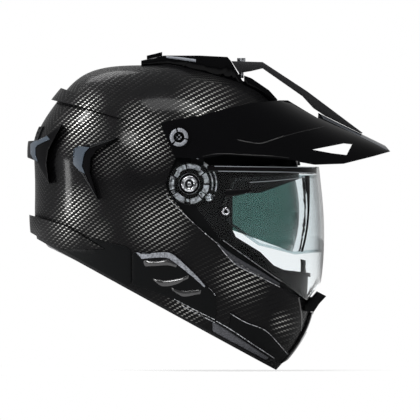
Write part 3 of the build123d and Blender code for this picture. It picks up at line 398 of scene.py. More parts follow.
def glass_material(name, hex_text, roughness, ior):
    """Moulded clear sheet: bright only at its edges, with faint waves of about 55 mm."""
    material, tree = start_material(name)
    place = add_node(tree, "ShaderNodeTexCoord").outputs["Object"]
    wave = add_node(tree, "ShaderNodeTexNoise", None,
                    {"Vector": place, "Scale": 18.0, "Detail": 1.0})
    bump = add_node(tree, "ShaderNodeBump", None,
                    {"Height": wave.outputs["Fac"], "Strength": 0.05, "Distance": 0.0005})
    shader = add_node(tree, "ShaderNodeBsdfPrincipled", None,
                      {"Base Color": linear(hex_text), "Roughness": roughness, "IOR": ior,
                       "Transmission Weight": 1.0, "Normal": bump.outputs[0]})
    end_material(tree, shader.outputs[0])
    return material


def foam_material(name, hex_text):
    """Expanded bead foam: dull beads about 3.2 mm across with dark joints."""
    bead = 3.2 * MM
    material, tree = start_material(name)
    place = add_node(tree, "ShaderNodeTexCoord").outputs["Object"]
    beads = add_node(tree, "ShaderNodeTexVoronoi", {"feature": "F1"},
                     {"Vector": place, "Scale": 1 / bead})
    joints = add_node(tree, "ShaderNodeTexVoronoi", {"feature": "DISTANCE_TO_EDGE"},
                      {"Vector": place, "Scale": 1 / bead})
    edge = add_node(tree, "ShaderNodeMapRange", None,
                    {"Value": joints.outputs["Distance"], "From Max": 0.12})
    dark = darkened(hex_text, 0.45)
    colour = add_node(tree, "ShaderNodeMix", {"data_type": "RGBA"},
                      {"Factor": edge.outputs[0], "A": dark, "B": linear(hex_text)})
    dome = add_node(tree, "ShaderNodeMath", {"operation": "SUBTRACT"},
                    {0: 1.0, 1: beads.outputs["Distance"]})
    bump = add_node(tree, "ShaderNodeBump", None,
                    {"Height": dome.outputs[0], "Strength": 0.5, "Distance": 0.0006})
    shader = add_node(tree, "ShaderNodeBsdfPrincipled", None,
                      {"Base Color": colour.outputs["Result"], "Roughness": 0.72,
                       "Normal": bump.outputs[0]})
    end_material(tree, shader.outputs[0])
    return material


def metal_material(name, hex_text, roughness):
    """Plated steel: fine scratches over a bright base."""
    material, tree = start_material(name)
    place = add_node(tree, "ShaderNodeTexCoord").outputs["Object"]
    # Scratches are 0.4 mm apart, coarser than real ones, which wouldn't show
    scratch = add_node(tree, "ShaderNodeTexNoise", None,
                       {"Vector": place, "Scale": 1 / (0.4 * MM), "Detail": 2.0})
    rough = add_node(tree, "ShaderNodeMapRange", None,
                     {"Value": scratch.outputs["Fac"], "To Min": roughness * 0.7,
                      "To Max": roughness * 1.4})
    bump = add_node(tree, "ShaderNodeBump", None,
                    {"Height": scratch.outputs["Fac"], "Strength": 0.2, "Distance": 0.00005})
    # Dark patches about 2.4 mm across are painted reflections of dark surroundings
    patch_noise = add_node(tree, "ShaderNodeTexNoise", None,
                    {"Vector": place, "Scale": 420.0, "Detail": 3.0})
    painted_reflection_patches = add_node(tree, "ShaderNodeMapRange", None,
                       {"Value": patch_noise.outputs["Fac"], "From Min": 0.42, "From Max": 0.55})
    dark = darkened(hex_text, 0.18)
    colour = add_node(tree, "ShaderNodeMix", {"data_type": "RGBA"},
                      {"Factor": painted_reflection_patches.outputs[0], "A": dark, "B": linear(hex_text)})
    shader = add_node(tree, "ShaderNodeBsdfPrincipled", None,
                      {"Base Color": colour.outputs["Result"], "Metallic": 1.0,
                       "Roughness": rough.outputs[0], "Normal": bump.outputs[0]})
    end_material(tree, shader.outputs[0])
    return material


def knit_material(name, hex_text, pitch, sheen):
    """Knitted or woven cloth: crossed threads at their real spacing, dull with a soft sheen."""
    material, tree = start_material(name)
    place = add_node(tree, "ShaderNodeTexCoord").outputs["Object"]
    threads = []
    for axis in ("X", "Z", "Y"):
        threads.append(add_node(tree, "ShaderNodeTexWave",
                                {"wave_type": "BANDS", "bands_direction": axis},
                                {"Vector": place, "Scale": 1 / (pitch * 3.1),
                                 "Distortion": 0.6, "Detail": 1.0}))
    crossed = add_node(tree, "ShaderNodeMath", {"operation": "MULTIPLY"},
                       {0: threads[0].outputs["Fac"], 1: threads[1].outputs["Fac"]})
    cloth = add_node(tree, "ShaderNodeMath", {"operation": "ADD"},
                     {0: crossed.outputs[0], 1: threads[2].outputs["Fac"]})
    fuzz = add_node(tree, "ShaderNodeTexNoise", None,
                    {"Vector": place, "Scale": 1 / (pitch * 14), "Detail": 3.0})
    dark = darkened(hex_text, 0.5)
    shade = add_node(tree, "ShaderNodeMath", {"operation": "MULTIPLY", "use_clamp": True},
                     {0: cloth.outputs[0], 1: fuzz.outputs["Fac"]})
    colour = add_node(tree, "ShaderNodeMix", {"data_type": "RGBA"},
                      {"Factor": shade.outputs[0], "A": dark, "B": linear(hex_text)})
    bump = add_node(tree, "ShaderNodeBump", None,
                    {"Height": cloth.outputs[0], "Strength": 0.5, "Distance": pitch * 0.4})
    shader = add_node(tree, "ShaderNodeBsdfPrincipled", None,
                      {"Base Color": colour.outputs["Result"], "Roughness": 0.9,
                       "Normal": bump.outputs[0], "Sheen Weight": sheen,
                       "Sheen Roughness": 0.5, "Specular IOR Level": 0.2})
    end_material(tree, shader.outputs[0])
    return material


def leather_material(name, hex_text):
    """Coated cloth with a pebbled grain about 1.5 mm across, duller in patches of 25 mm."""
    material, tree = start_material(name)
    place = add_node(tree, "ShaderNodeTexCoord").outputs["Object"]
    cells = add_node(tree, "ShaderNodeTexVoronoi", {"feature": "SMOOTH_F1"},
                     {"Vector": place, "Scale": 1 / (1.5 * MM)})
    bump = add_node(tree, "ShaderNodeBump", None,
                    {"Height": cells.outputs["Distance"], "Strength": 0.5, "Distance": 0.0002})
    patch_noise = add_node(tree, "ShaderNodeTexNoise", None,
                    {"Vector": place, "Scale": 1 / (25 * MM), "Detail": 3.0})
    rough = add_node(tree, "ShaderNodeMapRange", None,
                     {"Value": patch_noise.outputs["Fac"], "To Min": 0.42, "To Max": 0.6})
    dark = darkened(hex_text, 0.7)
    colour = add_node(tree, "ShaderNodeMix", {"data_type": "RGBA"},
                      {"Factor": patch_noise.outputs["Fac"], "A": dark, "B": linear(hex_text)})
    shader = add_node(tree, "ShaderNodeBsdfPrincipled", None,
                      {"Base Color": colour.outputs["Result"], "Roughness": rough.outputs[0],
                       "Normal": bump.outputs[0]})
    end_material(tree, shader.outputs[0])
    return material


class HelmetFinishes(bpy.types.PropertyGroup):
    """Sizes of the weave and colours of the mouldings."""
    dot_pitch: FloatProperty(
        name="Float pitch", description="Spacing of the floats along a twill row",
        default=0.0032, subtype="DISTANCE", unit="LENGTH")
    row_pitch: FloatProperty(
        name="Row pitch", description="Height between two twill rows",
        default=0.0054, subtype="DISTANCE", unit="LENGTH")
    row_slope: FloatProperty(
        name="Row slope", description="Rise of the rows at the middle of the side", default=0.60)
    row_bend: FloatProperty(
        name="Row bend", description="Loss of rise for each metre forward", default=1.2)
    resin_hex: StringProperty(
        name="Resin", description="Colour between the floats", default="040405")
    fibre_hex: StringProperty(
        name="Fibre", description="Colour of a lit float", default="f0efea")


def finishes():
    """The sizes and colours that the sidebar shows."""
    return bpy.context.scene.helmet_finishes


def paint(material, *names):
    """Gives a material to frame nodes."""
    for name in names:
        mesh = nodes[name].data
        mesh.materials.clear()
        mesh.materials.append(material)


def round_edges(item, edge, turn):
    """Rounds the edges that turn sharply, by some millimetres."""
    rounded = item.modifiers.new("edge", "BEVEL")
    rounded.width = edge * MM
    rounded.segments = 2
    rounded.limit_method = "ANGLE"
    rounded.angle_limit = turn
    rounded.harden_normals = True


def smooth_node(name, edge=0.0):
    """Shades a frame node smooth, and keeps its sharp edges crisp or rounds them."""
    item = nodes[name]
    join = item.modifiers.new("join_faces", "WELD")
    join.merge_threshold = JOIN_WITHIN
    for face in item.data.polygons:
        face.use_smooth = True
    if edge:
        round_edges(item, edge, SHARP_TURN)
    else:
        crisp = item.modifiers.new("crisp_edges", "EDGE_SPLIT")
        crisp.split_angle = SHARP_TURN


def new_piece(name, mesh, material, body, slot, *replaced):
    """Puts a mesh into the scene as a piece that rides on a body."""
    item = bpy.data.objects.new(name, mesh)
    bpy.context.scene.collection.objects.link(item)
    if material:
        mesh.materials.clear()
        mesh.materials.append(material)
    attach(item, body)
    if replaced:
        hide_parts(*replaced)
    return item


def copied_mesh(node, name):
    """A merged copy of a frame node's mesh, for a piece that is made from it."""
    form = bmesh.new()
    form.from_mesh(nodes[node].data)
    bmesh.ops.remove_doubles(form, verts=form.verts, dist=JOIN_WITHIN)
    mesh = bpy.data.meshes.new(name)
    form.to_mesh(mesh)
    form.free()
    return mesh


def surface_of(*names):
    """The faces of some nodes as one tree, for pieces that are laid on them."""
    form = bmesh.new()
    for name in names:
        form.from_mesh(nodes[name].data)
    tree = BVHTree.FromBMesh(form)
    form.free()
    return tree


def seated(tree, x, z, lift):
    """The place that lies above what the right side shows at a point, all in millimetres."""
    start = Vector((x * MM, cad_low.y - OUTSIDE, z * MM))
    place, normal = tree.ray_cast(start, Vector((0, 1, 0)))[:2]
    if place is None:
        raise ValueError("nothing to lie on at %.1f, %.1f" % (x, z))
    return place + normal * lift * MM


def smooth_line(points, count):
    """Places evenly spread along a smooth line through points of the side view."""
    places = []
    last = len(points) - 1
    for step in range(count):
        share = step / (count - 1) * last
        first = min(int(share), last - 1)
        part = share - first
        a, b, c, d = (Vector(points[max(0, min(last, first + shift))]) for shift in (-1, 0, 1, 2))
        places.append(0.5 * (2 * b + (c - a) * part + (2 * a - 5 * b + 4 * c - d) * part ** 2
                             + (3 * b - a - 3 * c + d) * part ** 3))
    return places


def broken_line(points, count):
    """Places evenly shared out over the straight runs through points of the side view."""
    places = []
    last = len(points) - 1
    for step in range(count):
        share = step / (count - 1) * last
        first = min(int(share), last - 1)
        places.append(Vector(points[first]).lerp(Vector(points[first + 1]), share - first))
    return places


def laid_strip(form, tree, upper, lower, lift, along=48, across=6, line=smooth_line):
    """A strip between two lines of the side view; lift gives its height along and across."""
    grid = bmesh.ops.create_grid(form, x_segments=along, y_segments=across, size=0.5)
    above = line(upper, along + 1)
    below = line(lower, along + 1)
    for vertex in grid["verts"]:
        share = vertex.co.x + 0.5
        part = vertex.co.y + 0.5
        x, z = above[round(share * along)].lerp(below[round(share * along)], part)
        vertex.co = seated(tree, x, z, lift(share, part))
    faces = list({face for vertex in grid["verts"] for face in vertex.link_faces})
    outward = 0.0
    for face in faces:
        face.normal_update()
        outward -= face.normal.y * face.calc_area()
    if outward < 0:
        bmesh.ops.reverse_faces(form, faces=faces)


def laid_bead(form, tree, line, radius, lift=0.0, count=48):
    """A round bead along a line of the side view."""
    curve = bpy.data.curves.new("bead", "CURVE")
    curve.dimensions = "3D"
    curve.bevel_depth = radius * MM
    curve.bevel_resolution = 2
    curve.use_fill_caps = True
    spline = curve.splines.new("POLY")
    spline.points.add(count - 1)
    for point, (x, z) in zip(spline.points, smooth_line(line, count)):
        point.co = (*seated(tree, x, z, lift), 1.0)
    item = bpy.data.objects.new("bead", curve)
    mesh = bpy.data.meshes.new_from_object(item)
    form.from_mesh(mesh)
    bpy.data.meshes.remove(mesh)
    bpy.data.objects.remove(item)
    bpy.data.curves.remove(curve)


def turned_ring(form, x, z, profile, start=0.0, sweep=360.0, steps=64):
    """Turns a closed profile of radius and reach from the middle plane about a pin's axis."""
    turn = Matrix.Rotation(math.radians(start), 3, "Y")
    centre = Vector((x * MM, 0, z * MM))
    verts = [form.verts.new(centre + turn @ Vector((radius * MM, -reach * MM, 0)))
             for radius, reach in profile]
    edges = [form.edges.new(pair) for pair in zip(verts, verts[1:] + verts[:1])]
    whole = sweep >= 360.0
    if not whole:
        form.faces.new(verts)
    spun = bmesh.ops.spin(form, geom=verts + edges, cent=centre, axis=(0, 1, 0),
                          angle=math.radians(sweep), steps=steps, use_merge=whole)
    if not whole:
        last = [item for item in spun["geom_last"] if isinstance(item, bmesh.types.BMEdge)]
        bmesh.ops.edgenet_fill(form, edges=last)


def add_left_side(form):
    """Adds the mirror image of a right-hand form, for the wearer's left."""
    whole = form.verts[:] + form.edges[:] + form.faces[:]
    image = bmesh.ops.duplicate(form, geom=whole)["geom"]
    verts = [item for item in image if isinstance(item, bmesh.types.BMVert)]
    faces = [item for item in image if isinstance(item, bmesh.types.BMFace)]
    bmesh.ops.scale(form, vec=(1, -1, 1), verts=verts)
    bmesh.ops.reverse_faces(form, faces=faces)


def shaped_piece(name, form, material, body, slot, wall=0.0, edge=0.0, turned=False, pair=True):
    """Ends a right-hand form as a smooth piece, with its image on the left where pair says so.

    wall thickens a laid sheet inwards, and edge rounds corners, both in millimetres.
    """
    if pair:
        add_left_side(form)
    if turned:
        bmesh.ops.recalc_face_normals(form, faces=form.faces)
    for face in form.faces:
        face.smooth = True
    mesh = bpy.data.meshes.new(name)
    form.to_mesh(mesh)
    form.free()
    item = new_piece(name, mesh, material, body, slot)
    if wall:
        thicken = item.modifiers.new("wall", "SOLIDIFY")
        thicken.thickness = wall * MM
        thicken.offset = -1.0
    if edge:
        round_edges(item, edge, PIECE_SHARP_TURN)


def dome(height):
    """A lift that rises in the middle of a strip and fades at both of its ends."""
    sunk = 0.1
    return lambda share, part: height * (math.sin(math.pi * part)
                                         * min(1.0, 6 * share, 6 * (1 - share))) - sunk


def even(height):
    """A lift that is the same all over a strip."""
    return lambda share, part: height


def crowned(edge, rise):
    """A lift that starts at the edge's height and rises in the middle of a strip."""
    return lambda share, part: edge + rise * math.sin(math.pi * part)


def apply_modifiers(item):
    """Turns what the modifiers show into the piece's own mesh."""
    shown = item.evaluated_get(bpy.context.evaluated_depsgraph_get())
    mesh = bpy.data.meshes.new_from_object(shown)
    old = item.data
    item.modifiers.clear()
    item.data = mesh
    bpy.data.meshes.remove(old)


def fill_with_foam(item, backing):
    """Swells a cover by cloth pressure; what lies near its backing stays where it is."""
    before = [vertex.co.copy() for vertex in item.data.vertices]
    held = item.vertex_groups.new(name="held")
    free = []
    for vertex in item.data.vertices:
        gap = backing.find_nearest(vertex.co)[3]
        weight = 1.0 - min(1.0, max(0.0, (gap - PAD_NEAR) / PAD_FADE))
        held.add([vertex.index], weight, "REPLACE")
        free.append(1.0 - weight)
    cloth = item.modifiers.new("cloth", "CLOTH")
    cloth.settings.quality = PAD_STEPS
    cloth.settings.mass = PAD_MASS
    cloth.settings.tension_stiffness = PAD_STIFFNESS
    cloth.settings.compression_stiffness = PAD_STIFFNESS
    cloth.settings.bending_stiffness = PAD_BENDING
    cloth.settings.use_pressure = True
    cloth.settings.uniform_pressure_force = PAD_PRESSURE
    cloth.settings.vertex_group_mass = "held"
    cloth.settings.effector_weights.gravity = 0.0
    cloth.point_cache.frame_start = 1
    cloth.point_cache.frame_end = PAD_FRAMES
    scene = bpy.context.scene
    for step in range(1, PAD_FRAMES + 1):
        scene.frame_set(step)
    apply_modifiers(item)
    for vertex, start, share in zip(item.data.vertices, before, free):
        shift = vertex.co - start
        vertex.co = start + shift.normalized() * min(shift.length, PAD_REACH * share)
    scene.frame_set(1)


class HELMET_OT_frame_finishes(bpy.types.Operator):
    """Gives every hard node its finish"""
    bl_idname = "helmet.frame_finishes"
    bl_label = "Frame finishes"

    def execute(self, context):
        # Black ABS from a polished mould: almost black, with the lamps as soft bright shapes
        gloss_black = gloss_material("polished_black_abs", "030304", 0.07, 0.07)
        # Black ABS from a spark-eroded mould: a fine grain that swallows most of the light
        matte_black = moulded_material("moulded_black_abs", "060708", 0.42, 0.0006, 0.00008, 0.05)
        # The same with a coarse grain: a dry dark grey
        coarse_black = moulded_material("coarse_moulded_black_abs", "151517", 0.5, 0.0011,
                                        0.0003, 0.2)
        # The same with a finer, shallower grain: deeper black and a little smoother
        fin_satin = moulded_material("fine_moulded_black_abs", "050506", 0.36, 0.0008, 0.00006,
                                     0.03)
        # Moulded rubber: wide dull highlights and no mirror image
        rubber = moulded_material("moulded_rubber", "0c0c0e", 0.65, 0.0005, 0.00008, 0.14)
        # Plated steel: small bright glints between dark patches painted as reflections
        steel = metal_material("plated_steel", "c9ccd1", 0.25)
        # Clear polycarbonate: seen by its edges. The IOR is lower than the real 1.58, because the
        # photograph shows only weak reflections
        clear = glass_material("clear_polycarbonate", "f6f9fa", 0.0, 1.2)
        # Silicone: milky, so that the seal is a soft line
        silicone = glass_material("translucent_silicone", "e4ebec", 0.12, 1.2)
        # Polycarbonate dyed green: darkens what is behind it and stays clear
        tint = glass_material("green_tinted_polycarbonate", "85a09b", 0.0, 1.2)
        # Dark expanded polystyrene: dull grey beads
        foam = foam_material("expanded_bead_foam", "232327")
        groups = (
            (carbon_material(finishes()), ("outer_shell",)),
            (gloss_black, ("brow_trim", "peak", "crown_mount", "forehead_vent",
                           "chin_vent_frame")),
            (matte_black, ("port_frame", "pivot_plate_right", "pivot_plate_left",
                           "sun_visor_slider", "slider_track", "rear_trim", "side_cover_right",
                           "side_cover_left", "chin_trim_right", "chin_trim_left", "chin_scoop",
                           "chin_vent_flap", "chin_vent_mesh", "exhaust_mesh")),
            (coarse_black, ("peak_strut",)),
            (fin_satin, ("rear_fin_right", "rear_fin_left", "rear_bridge", "pivot_hub_right",
                         "pivot_hub_left", "insert_pins", "peak_screw_right", "peak_screw_left",
                         "crown_vent_slider")),
            (rubber, ("base_trim", "port_gasket", "breath_guard")),
            (steel, ("pivot_plate_screws", "sun_visor_pivots", "peak_top_screw", "d_rings",
                     "strap_anchors")),
            (clear, ("face_shield", "insert_lens")),
            (silicone, ("insert_seal",)),
            (tint, ("sun_visor",)),
            (foam, ("impact_liner", "chin_liner")),
        )
        rounded = {"side_cover_right", "side_cover_left", "chin_trim_right", "chin_trim_left",
                   "chin_scoop", "rear_trim", "peak_strut", "crown_mount", "chin_vent_frame",
                   "rear_fin_right", "rear_fin_left", "rear_bridge", "forehead_vent"}
        for material, names in groups:
            paint(material, *names)
            for name in names:
                smooth_node(name, NODE_EDGE if name in rounded else 0.0)
        return {"FINISHED"}


class HELMET_OT_pivot_rings(bpy.types.Operator):
    """Builds the toothed ring, the bright rings of the hub, screws and pins, and the dial faces"""
    bl_idname = "helmet.pivot_rings"
    bl_label = "Pivot rings"

    def execute(self, context):
        # Grey ABS from a deeply spark-eroded mould: light lands between dark pits, whose 3.6 mm
        # are drawn coarser than real ones
        speckled = moulded_material("spark_eroded_grey_abs", "c3c5cb", 0.35, 0.0036, 0.0008, 0.5,
                                    0.93, 0.14)
        # Polished steel: rings that catch the lamps
        bright = metal_material("polished_steel", "b4b6ba", 0.16)
        # Glass-filled nylon: a dark web with a broken shine
        dark = moulded_material("glass_filled_black_nylon", "4a4b50", 0.35, 0.0024, 0.0005, 0.5,
                                0.95, 0.2)
        face = DISC_FACE
        form = bmesh.new()
        for start, sweep, inner, outer in RING_RIBS:
            turned_ring(form, *PIVOT, ((inner, face), (inner, face + 1.2),
                                       (inner + 0.6, face + 1.7), (outer - 0.6, face + 1.5),
                                       (outer, face + 1.0), (outer, face)), start, sweep, 16)
        turned_ring(form, *PIVOT, ((9.9, face + 2), (10.0, face + 3), (11.2, face + 3),
                                   (11.4, face + 2)))
        # Guide slots in front of the ring, and then the small bosses round it
        for start, sweep, inner, outer in GUIDE_SLOTS:
            turned_ring(form, *PIVOT, ((inner, GUIDE_FACE), (inner, GUIDE_FACE + 4.2),
                                       (outer, GUIDE_FACE + 4.2), (outer, GUIDE_FACE)),
                        start, sweep, 24)
        for x, z, radius in PLATE_BOSSES:
            turned_ring(form, x, z, ((radius * 0.45, face), (radius * 0.5, face + 2.2),
                                     (radius * 0.9, face + 2.2), (radius, face)), steps=24)
        shaped_piece("pivot_ring_sectors", form, speckled, "shell", "satin_grey", edge=0.2,
                     turned=True)
        form = bmesh.new()
        for start, sweep, inner, outer in RING_WEBS:
            turned_ring(form, *PIVOT, ((inner, face), (inner, face + 0.9), (outer, face + 0.9),
                                       (outer, face)), start, sweep, 16)
        shaped_piece("pivot_ring_web", form, dark, "shell", "matte_black", edge=0.2, turned=True)
        form = bmesh.new()
        face = HUB_FACE
        turned_ring(form, *PIVOT, ((4.4, face), (4.8, face + 0.8), (6.6, face + 1.3),
                                   (8.4, face + 0.8), (8.8, face)))
        turned_ring(form, *PIVOT, ((0.6, face - 1.2), (0.8, face - 0.3), (2.8, face - 0.2),
                                   (3.2, face - 1.2)))
        face = PLATE_FACE
        for x, z, outer in PLATE_SCREWS:
            turned_ring(form, x, z, ((1.9, face - 0.2), (2.2, face + 0.5), (3.2, face + 0.8),
                                     (outer - 0.2, face + 0.5), (outer, face - 0.2)))
        shaped_piece("hub_and_screw_rings", form, bright, "shell", "steel", turned=True)
        form = bmesh.new()
        face = PIN_FACE
        turned_ring(form, *LENS_PIN, ((1.7, face - 0.6), (2.0, face + 0.3), (3.0, face + 0.8),
                                      (4.1, face + 0.4), (4.3, face - 0.6)))
        shaped_piece("lens_pin_rings", form, bright, "shield", "steel", turned=True)
        # Grey nylon of the dials: an even dull grey with small pits
        dial = moulded_material("moulded_grey_dial", "83868d", 0.4, 0.0016, 0.0003, 0.4, 0.7, 0.2)
        face = DIAL_FACE
        for side in ("right", "left"):
            form = bmesh.new()
            for start in DIAL_SECTORS:
                turned_ring(form, *PEAK_SCREW, ((5.8, face - 1), (6.0, face + 0.8),
                                                (9.6, face + 0.8), (9.9, face - 1)),
                            start, DIAL_SWEEP, 24)
            turned_ring(form, *PEAK_SCREW, ((1.3, face - 1), (1.5, face + 0.5), (4.4, face + 0.5),
                                            (4.7, face - 1)))
            if side == "left":
                bmesh.ops.scale(form, vec=(1, -1, 1), verts=form.verts)
            shaped_piece("dial_face_" + side, form, dial, "screw_" + side, "satin_grey",
                         turned=True, pair=False)
        return {"FINISHED"}


class HELMET_OT_shield_bands(bpy.types.Operator):
    """Builds the shield's printed bands and its lip's light lines, painted as highlights"""
    bl_idname = "helmet.shield_bands"
    bl_label = "Shield bands"

    def execute(self, context):
        # Ink printed on the shield: deep black under a shine
        black = gloss_material("printed_black_edge", "040405", 0.1, 0.12)
        # Thin light grey lines: painted highlights along the upper lip
        line = moulded_material("lip_highlight_grey", "8d9197", 0.3, 0.0008, 0.00004, 0.5)
        tree = surface_of("face_shield")
        form = bmesh.new()
        laid_strip(form, tree, ((40, 19.6), (100, 18.7), (130, 18.6), (158, 18.2)),
                   ((40, 13.0), (100, 12.5), (130, 12.0), (158, 11.0)), even(0.25), 64, 4)
        laid_strip(form, tree, ((145.4, 9), (147.2, -8), (148.0, -28), (146.7, -45),
                                (144.2, -60), (140.8, -73)),
                   ((150.4, 9), (150.6, -8), (150.2, -28), (148.8, -45), (146.3, -60),
                    (143.2, -73)), even(0.2), 64, 4)
        laid_strip(form, tree, ((60, -6), (72, -6), (90, -6)),
                   ((60, -14.8), (72, -12.9), (84, -9.5)), even(0.2), 24, 4)
        shaped_piece("shield_lip_band", form, black, "shield", "gloss_black", wall=0.4)
        form = bmesh.new()
        laid_bead(form, tree, ((48, 18.9), (100, 18.2), (130, 17.9), (156, 17.6)), 0.35, 0.3)
        laid_bead(form, tree, ((52, 13.6), (100, 13.0), (130, 12.6), (156, 11.6)), 0.4, 0.3)
        laid_bead(form, tree, ((86, 1.6), (110, 3.2), (130, 5.2), (145, 6.9)), 0.35, 0.2)
        shaped_piece("shield_lip_highlight_lines", form, line, "shield", "satin_grey")
        return {"FINISHED"}


class HELMET_OT_side_trims(bpy.types.Operator):
    """Builds the strips, ridges and painted highlight lines of the side covers, rim and jaw"""
    bl_idname = "helmet.side_trims"
    bl_label = "Side trims"

    def execute(self, context):
        # Grey ABS with light and dark specks of 2.4 mm, drawn coarser than real ones
        speckled = moulded_material("speckled_grey_abs", "8b8e95", 0.5, 0.0024, 0.0004, 0.3, 0.8,
                                     0.2)
        # Satin black ABS: ridges that show as soft highlights only
        satin = moulded_material("satin_black_abs", "0c0c0e", 0.18, 0.0008, 0.00002, 0.7)
        # Metallic colour in broken bright lines: painted highlights on the gasket and bevel edges
        line = metal_material("painted_highlight_line", "c4c6ca", 0.35)
        cover = surface_of("side_cover_right", "outer_shell", "chin_trim_right", "base_trim")
        form = bmesh.new()
        laid_strip(form, cover,
                   ((-36, -73.8), (-18, -74.2), (-3, -73.6), (5, -77.0), (16, -86.5), (28, -98),
                    (38, -109.5)),
                   ((-30, -80.5), (-16, -79.2), (-5, -79.2), (1, -81.4), (13, -90.4), (26, -101),
                    (37, -111)), even(0.5), 60, 4)
        shaped_piece("cover_speckled_strips", form, speckled, "shell", "satin_grey", wall=0.8,
                     edge=0.25)
        form = bmesh.new()
        laid_strip(form, cover, ((-29, -82.0), (-14, -82.4), (-2, -81.2), (8, -86.5)),
                   ((-27, -89.0), (-14, -88.5), (-2, -88.0), (7, -90.0)), dome(1.5), 48, 10)
        laid_strip(form, cover, ((-19, -101.5), (-8, -103.2), (6, -101.6), (21, -97.5)),
                   ((-15, -106.5), (-7, -110.5), (7, -108.5), (20, -101.8)), dome(1.8), 48, 10)
        laid_strip(form, cover, ((1, -110.6), (14, -114.6), (34, -113.5)),
                   ((3, -115.2), (15, -121.5), (33, -118.5)), dome(1.8), 48, 10)
        shaped_piece("cover_ridges", form, satin, "shell", "matte_black", wall=0.8)
        # Bright lines along the lower rim and its gasket: painted highlights
        form = bmesh.new()
        laid_bead(form, cover, ((5, -123.6), (26, -134.6), (48, -145.6)), 0.45, 0.45)
        laid_bead(form, cover, ((14, -131.2), (31, -140.0), (48, -148.6)), 0.45, 0.45)
        laid_bead(form, cover, ((65, -139.2), (81, -148.6), (102, -157.2), (116, -171),
                                (127, -184)), 0.4, 0.2)
        laid_bead(form, cover, ((50, -147.4), (64, -155.5), (88, -171.5), (112, -187.5)),
                  0.5, 0.2)
        laid_bead(form, cover, ((41.5, -111.3), (45.6, -115.4), (48.9, -120)), 0.35, 0.2, 16)
        shaped_piece("trim_highlight_lines", form, line, "shell", "satin_grey")
        # Sprayed texture paint: a dark grey with coarse specks
        plate = moulded_material("sprayed_rim_plate", "4a4b50", 0.6, 0.002, 0.0004, 0.3, 0.7, 0.2)
        form = bmesh.new()
        laid_strip(form, cover, ((46, -147.5), (64, -158.5), (88, -174.5), (106, -186.5)),
                   ((46, -158.2), (64, -168.3), (84, -179.0), (103, -189.2)),
                   crowned(0.3, 0.9), 48, 6)
        shaped_piece("rim_plates", form, plate, "shell", "textured_black", wall=0.8)
        # Polished edge of the chin: one thin bright streak on black
        gloss = gloss_material("polished_chin_edge", "050506", 0.07, 0.9)
        chin = surface_of("outer_shell", "chin_vent_frame")
        form = bmesh.new()
        laid_bead(form, chin, ((138.5, -122), (140.4, -132), (141.6, -145), (141.2, -158)),
                  1.3, -0.3)
        shaped_piece("chin_edge_beads", form, gloss, "shell", "gloss_black")
        frame_edge = surface_of("outer_shell", "port_frame")
        form = bmesh.new()
        laid_strip(form, frame_edge, ((50.5, -62), (62, -72), (78, -82.5), (98, -94), (118, -107)),
                   ((52, -65), (60, -75), (72, -87), (95, -98.5), (117, -109.5)),
                   crowned(0.2, 0.8), 56, 8)
        shaped_piece("jaw_bevels", form, plate, "shell", "satin_grey", wall=0.8)
        # Bright lines along the jaw's bevel edges: painted highlights
        form = bmesh.new()
        laid_bead(form, frame_edge, ((51.5, -65), (60, -75.6), (72, -87.4), (95, -99.2),
                                     (118, -110.8)), 0.4, 0.3)
        laid_bead(form, frame_edge, ((-3.4, -10), (-1.5, -15.5), (7.5, -24.5), (21.3, -38.2),
                                     (35.6, -51.2), (50.5, -63.5)), 0.3, 0.2)
        laid_bead(form, frame_edge, ((57, -60.5), (80, -77), (104, -94), (120, -105)), 0.3, 0.3)
        shaped_piece("jaw_bevel_highlight_lines", form, line, "shell", "satin_grey")
        return {"FINISHED"}


class HELMET_OT_fin_blades(bpy.types.Operator):
    """Builds the fins' satin blue grey faces, painted as lit sides, and their black tails"""
    bl_idname = "helmet.fin_blades"
    bl_label = "Fin blades"

    def execute(self, context):
        # Satin ABS in blue grey: an even soft face, painted lighter as the fins' lit side
        satin = moulded_material("painted_lit_blue_grey_abs", "2d3640", 0.3, 0.0008, 0.00004, 0.5)
        # Satin black lacquer: a soft streak along the tails
        black = gloss_material("satin_black_lacquer", "08090b", 0.25, 0.2)
        fins = surface_of("rear_fin_right", "outer_shell")
        form = bmesh.new()
        laid_strip(form, fins, ((-97, 40.4), (-103.2, 37.2), (-103.6, 30), (-103.2, 21), (-97, 14)),
                   ((-86, 39.0), (-91, 34), (-92.5, 29), (-94.2, 19), (-91, 11)),
                   even(0.8), 40, 8, broken_line)
        bridge = surface_of("rear_bridge", "outer_shell")
        laid_strip(form, bridge, ((-132, 51.5), (-146, 46.0), (-150, 43), (-150, 33), (-147, 27)),
                   ((-129, 48), (-142, 42), (-144.5, 39), (-144.5, 31), (-142, 24)),
                   even(0.6), 40, 8, broken_line)
        shaped_piece("fin_painted_lit_faces", form, satin, "shell", "fin_satin", wall=0.8, edge=0.3)
        form = bmesh.new()
        laid_strip(form, fins, ((-97, 13.5), (-94, 10), (-87, -1.5), (-78.5, -15.5)),
                   ((-91, 10.5), (-89, 6), (-84, -3), (-77.8, -15)),
                   crowned(0.4, 0.4), 40, 6)
        laid_strip(form, fins, ((-86, 42), (-75, 45), (-58, 49)),
                   ((-85, 38.5), (-74, 42.5), (-58, 48.3)),
                   crowned(0.4, 0.4), 40, 6)
        laid_bead(form, fins, ((-90.5, 10), (-86, -1), (-78, -14.8)), 0.4, 0.5)
        shaped_piece("fin_tails", form, black, "shell", "gloss_black", wall=0.6)
        return {"FINISHED"}


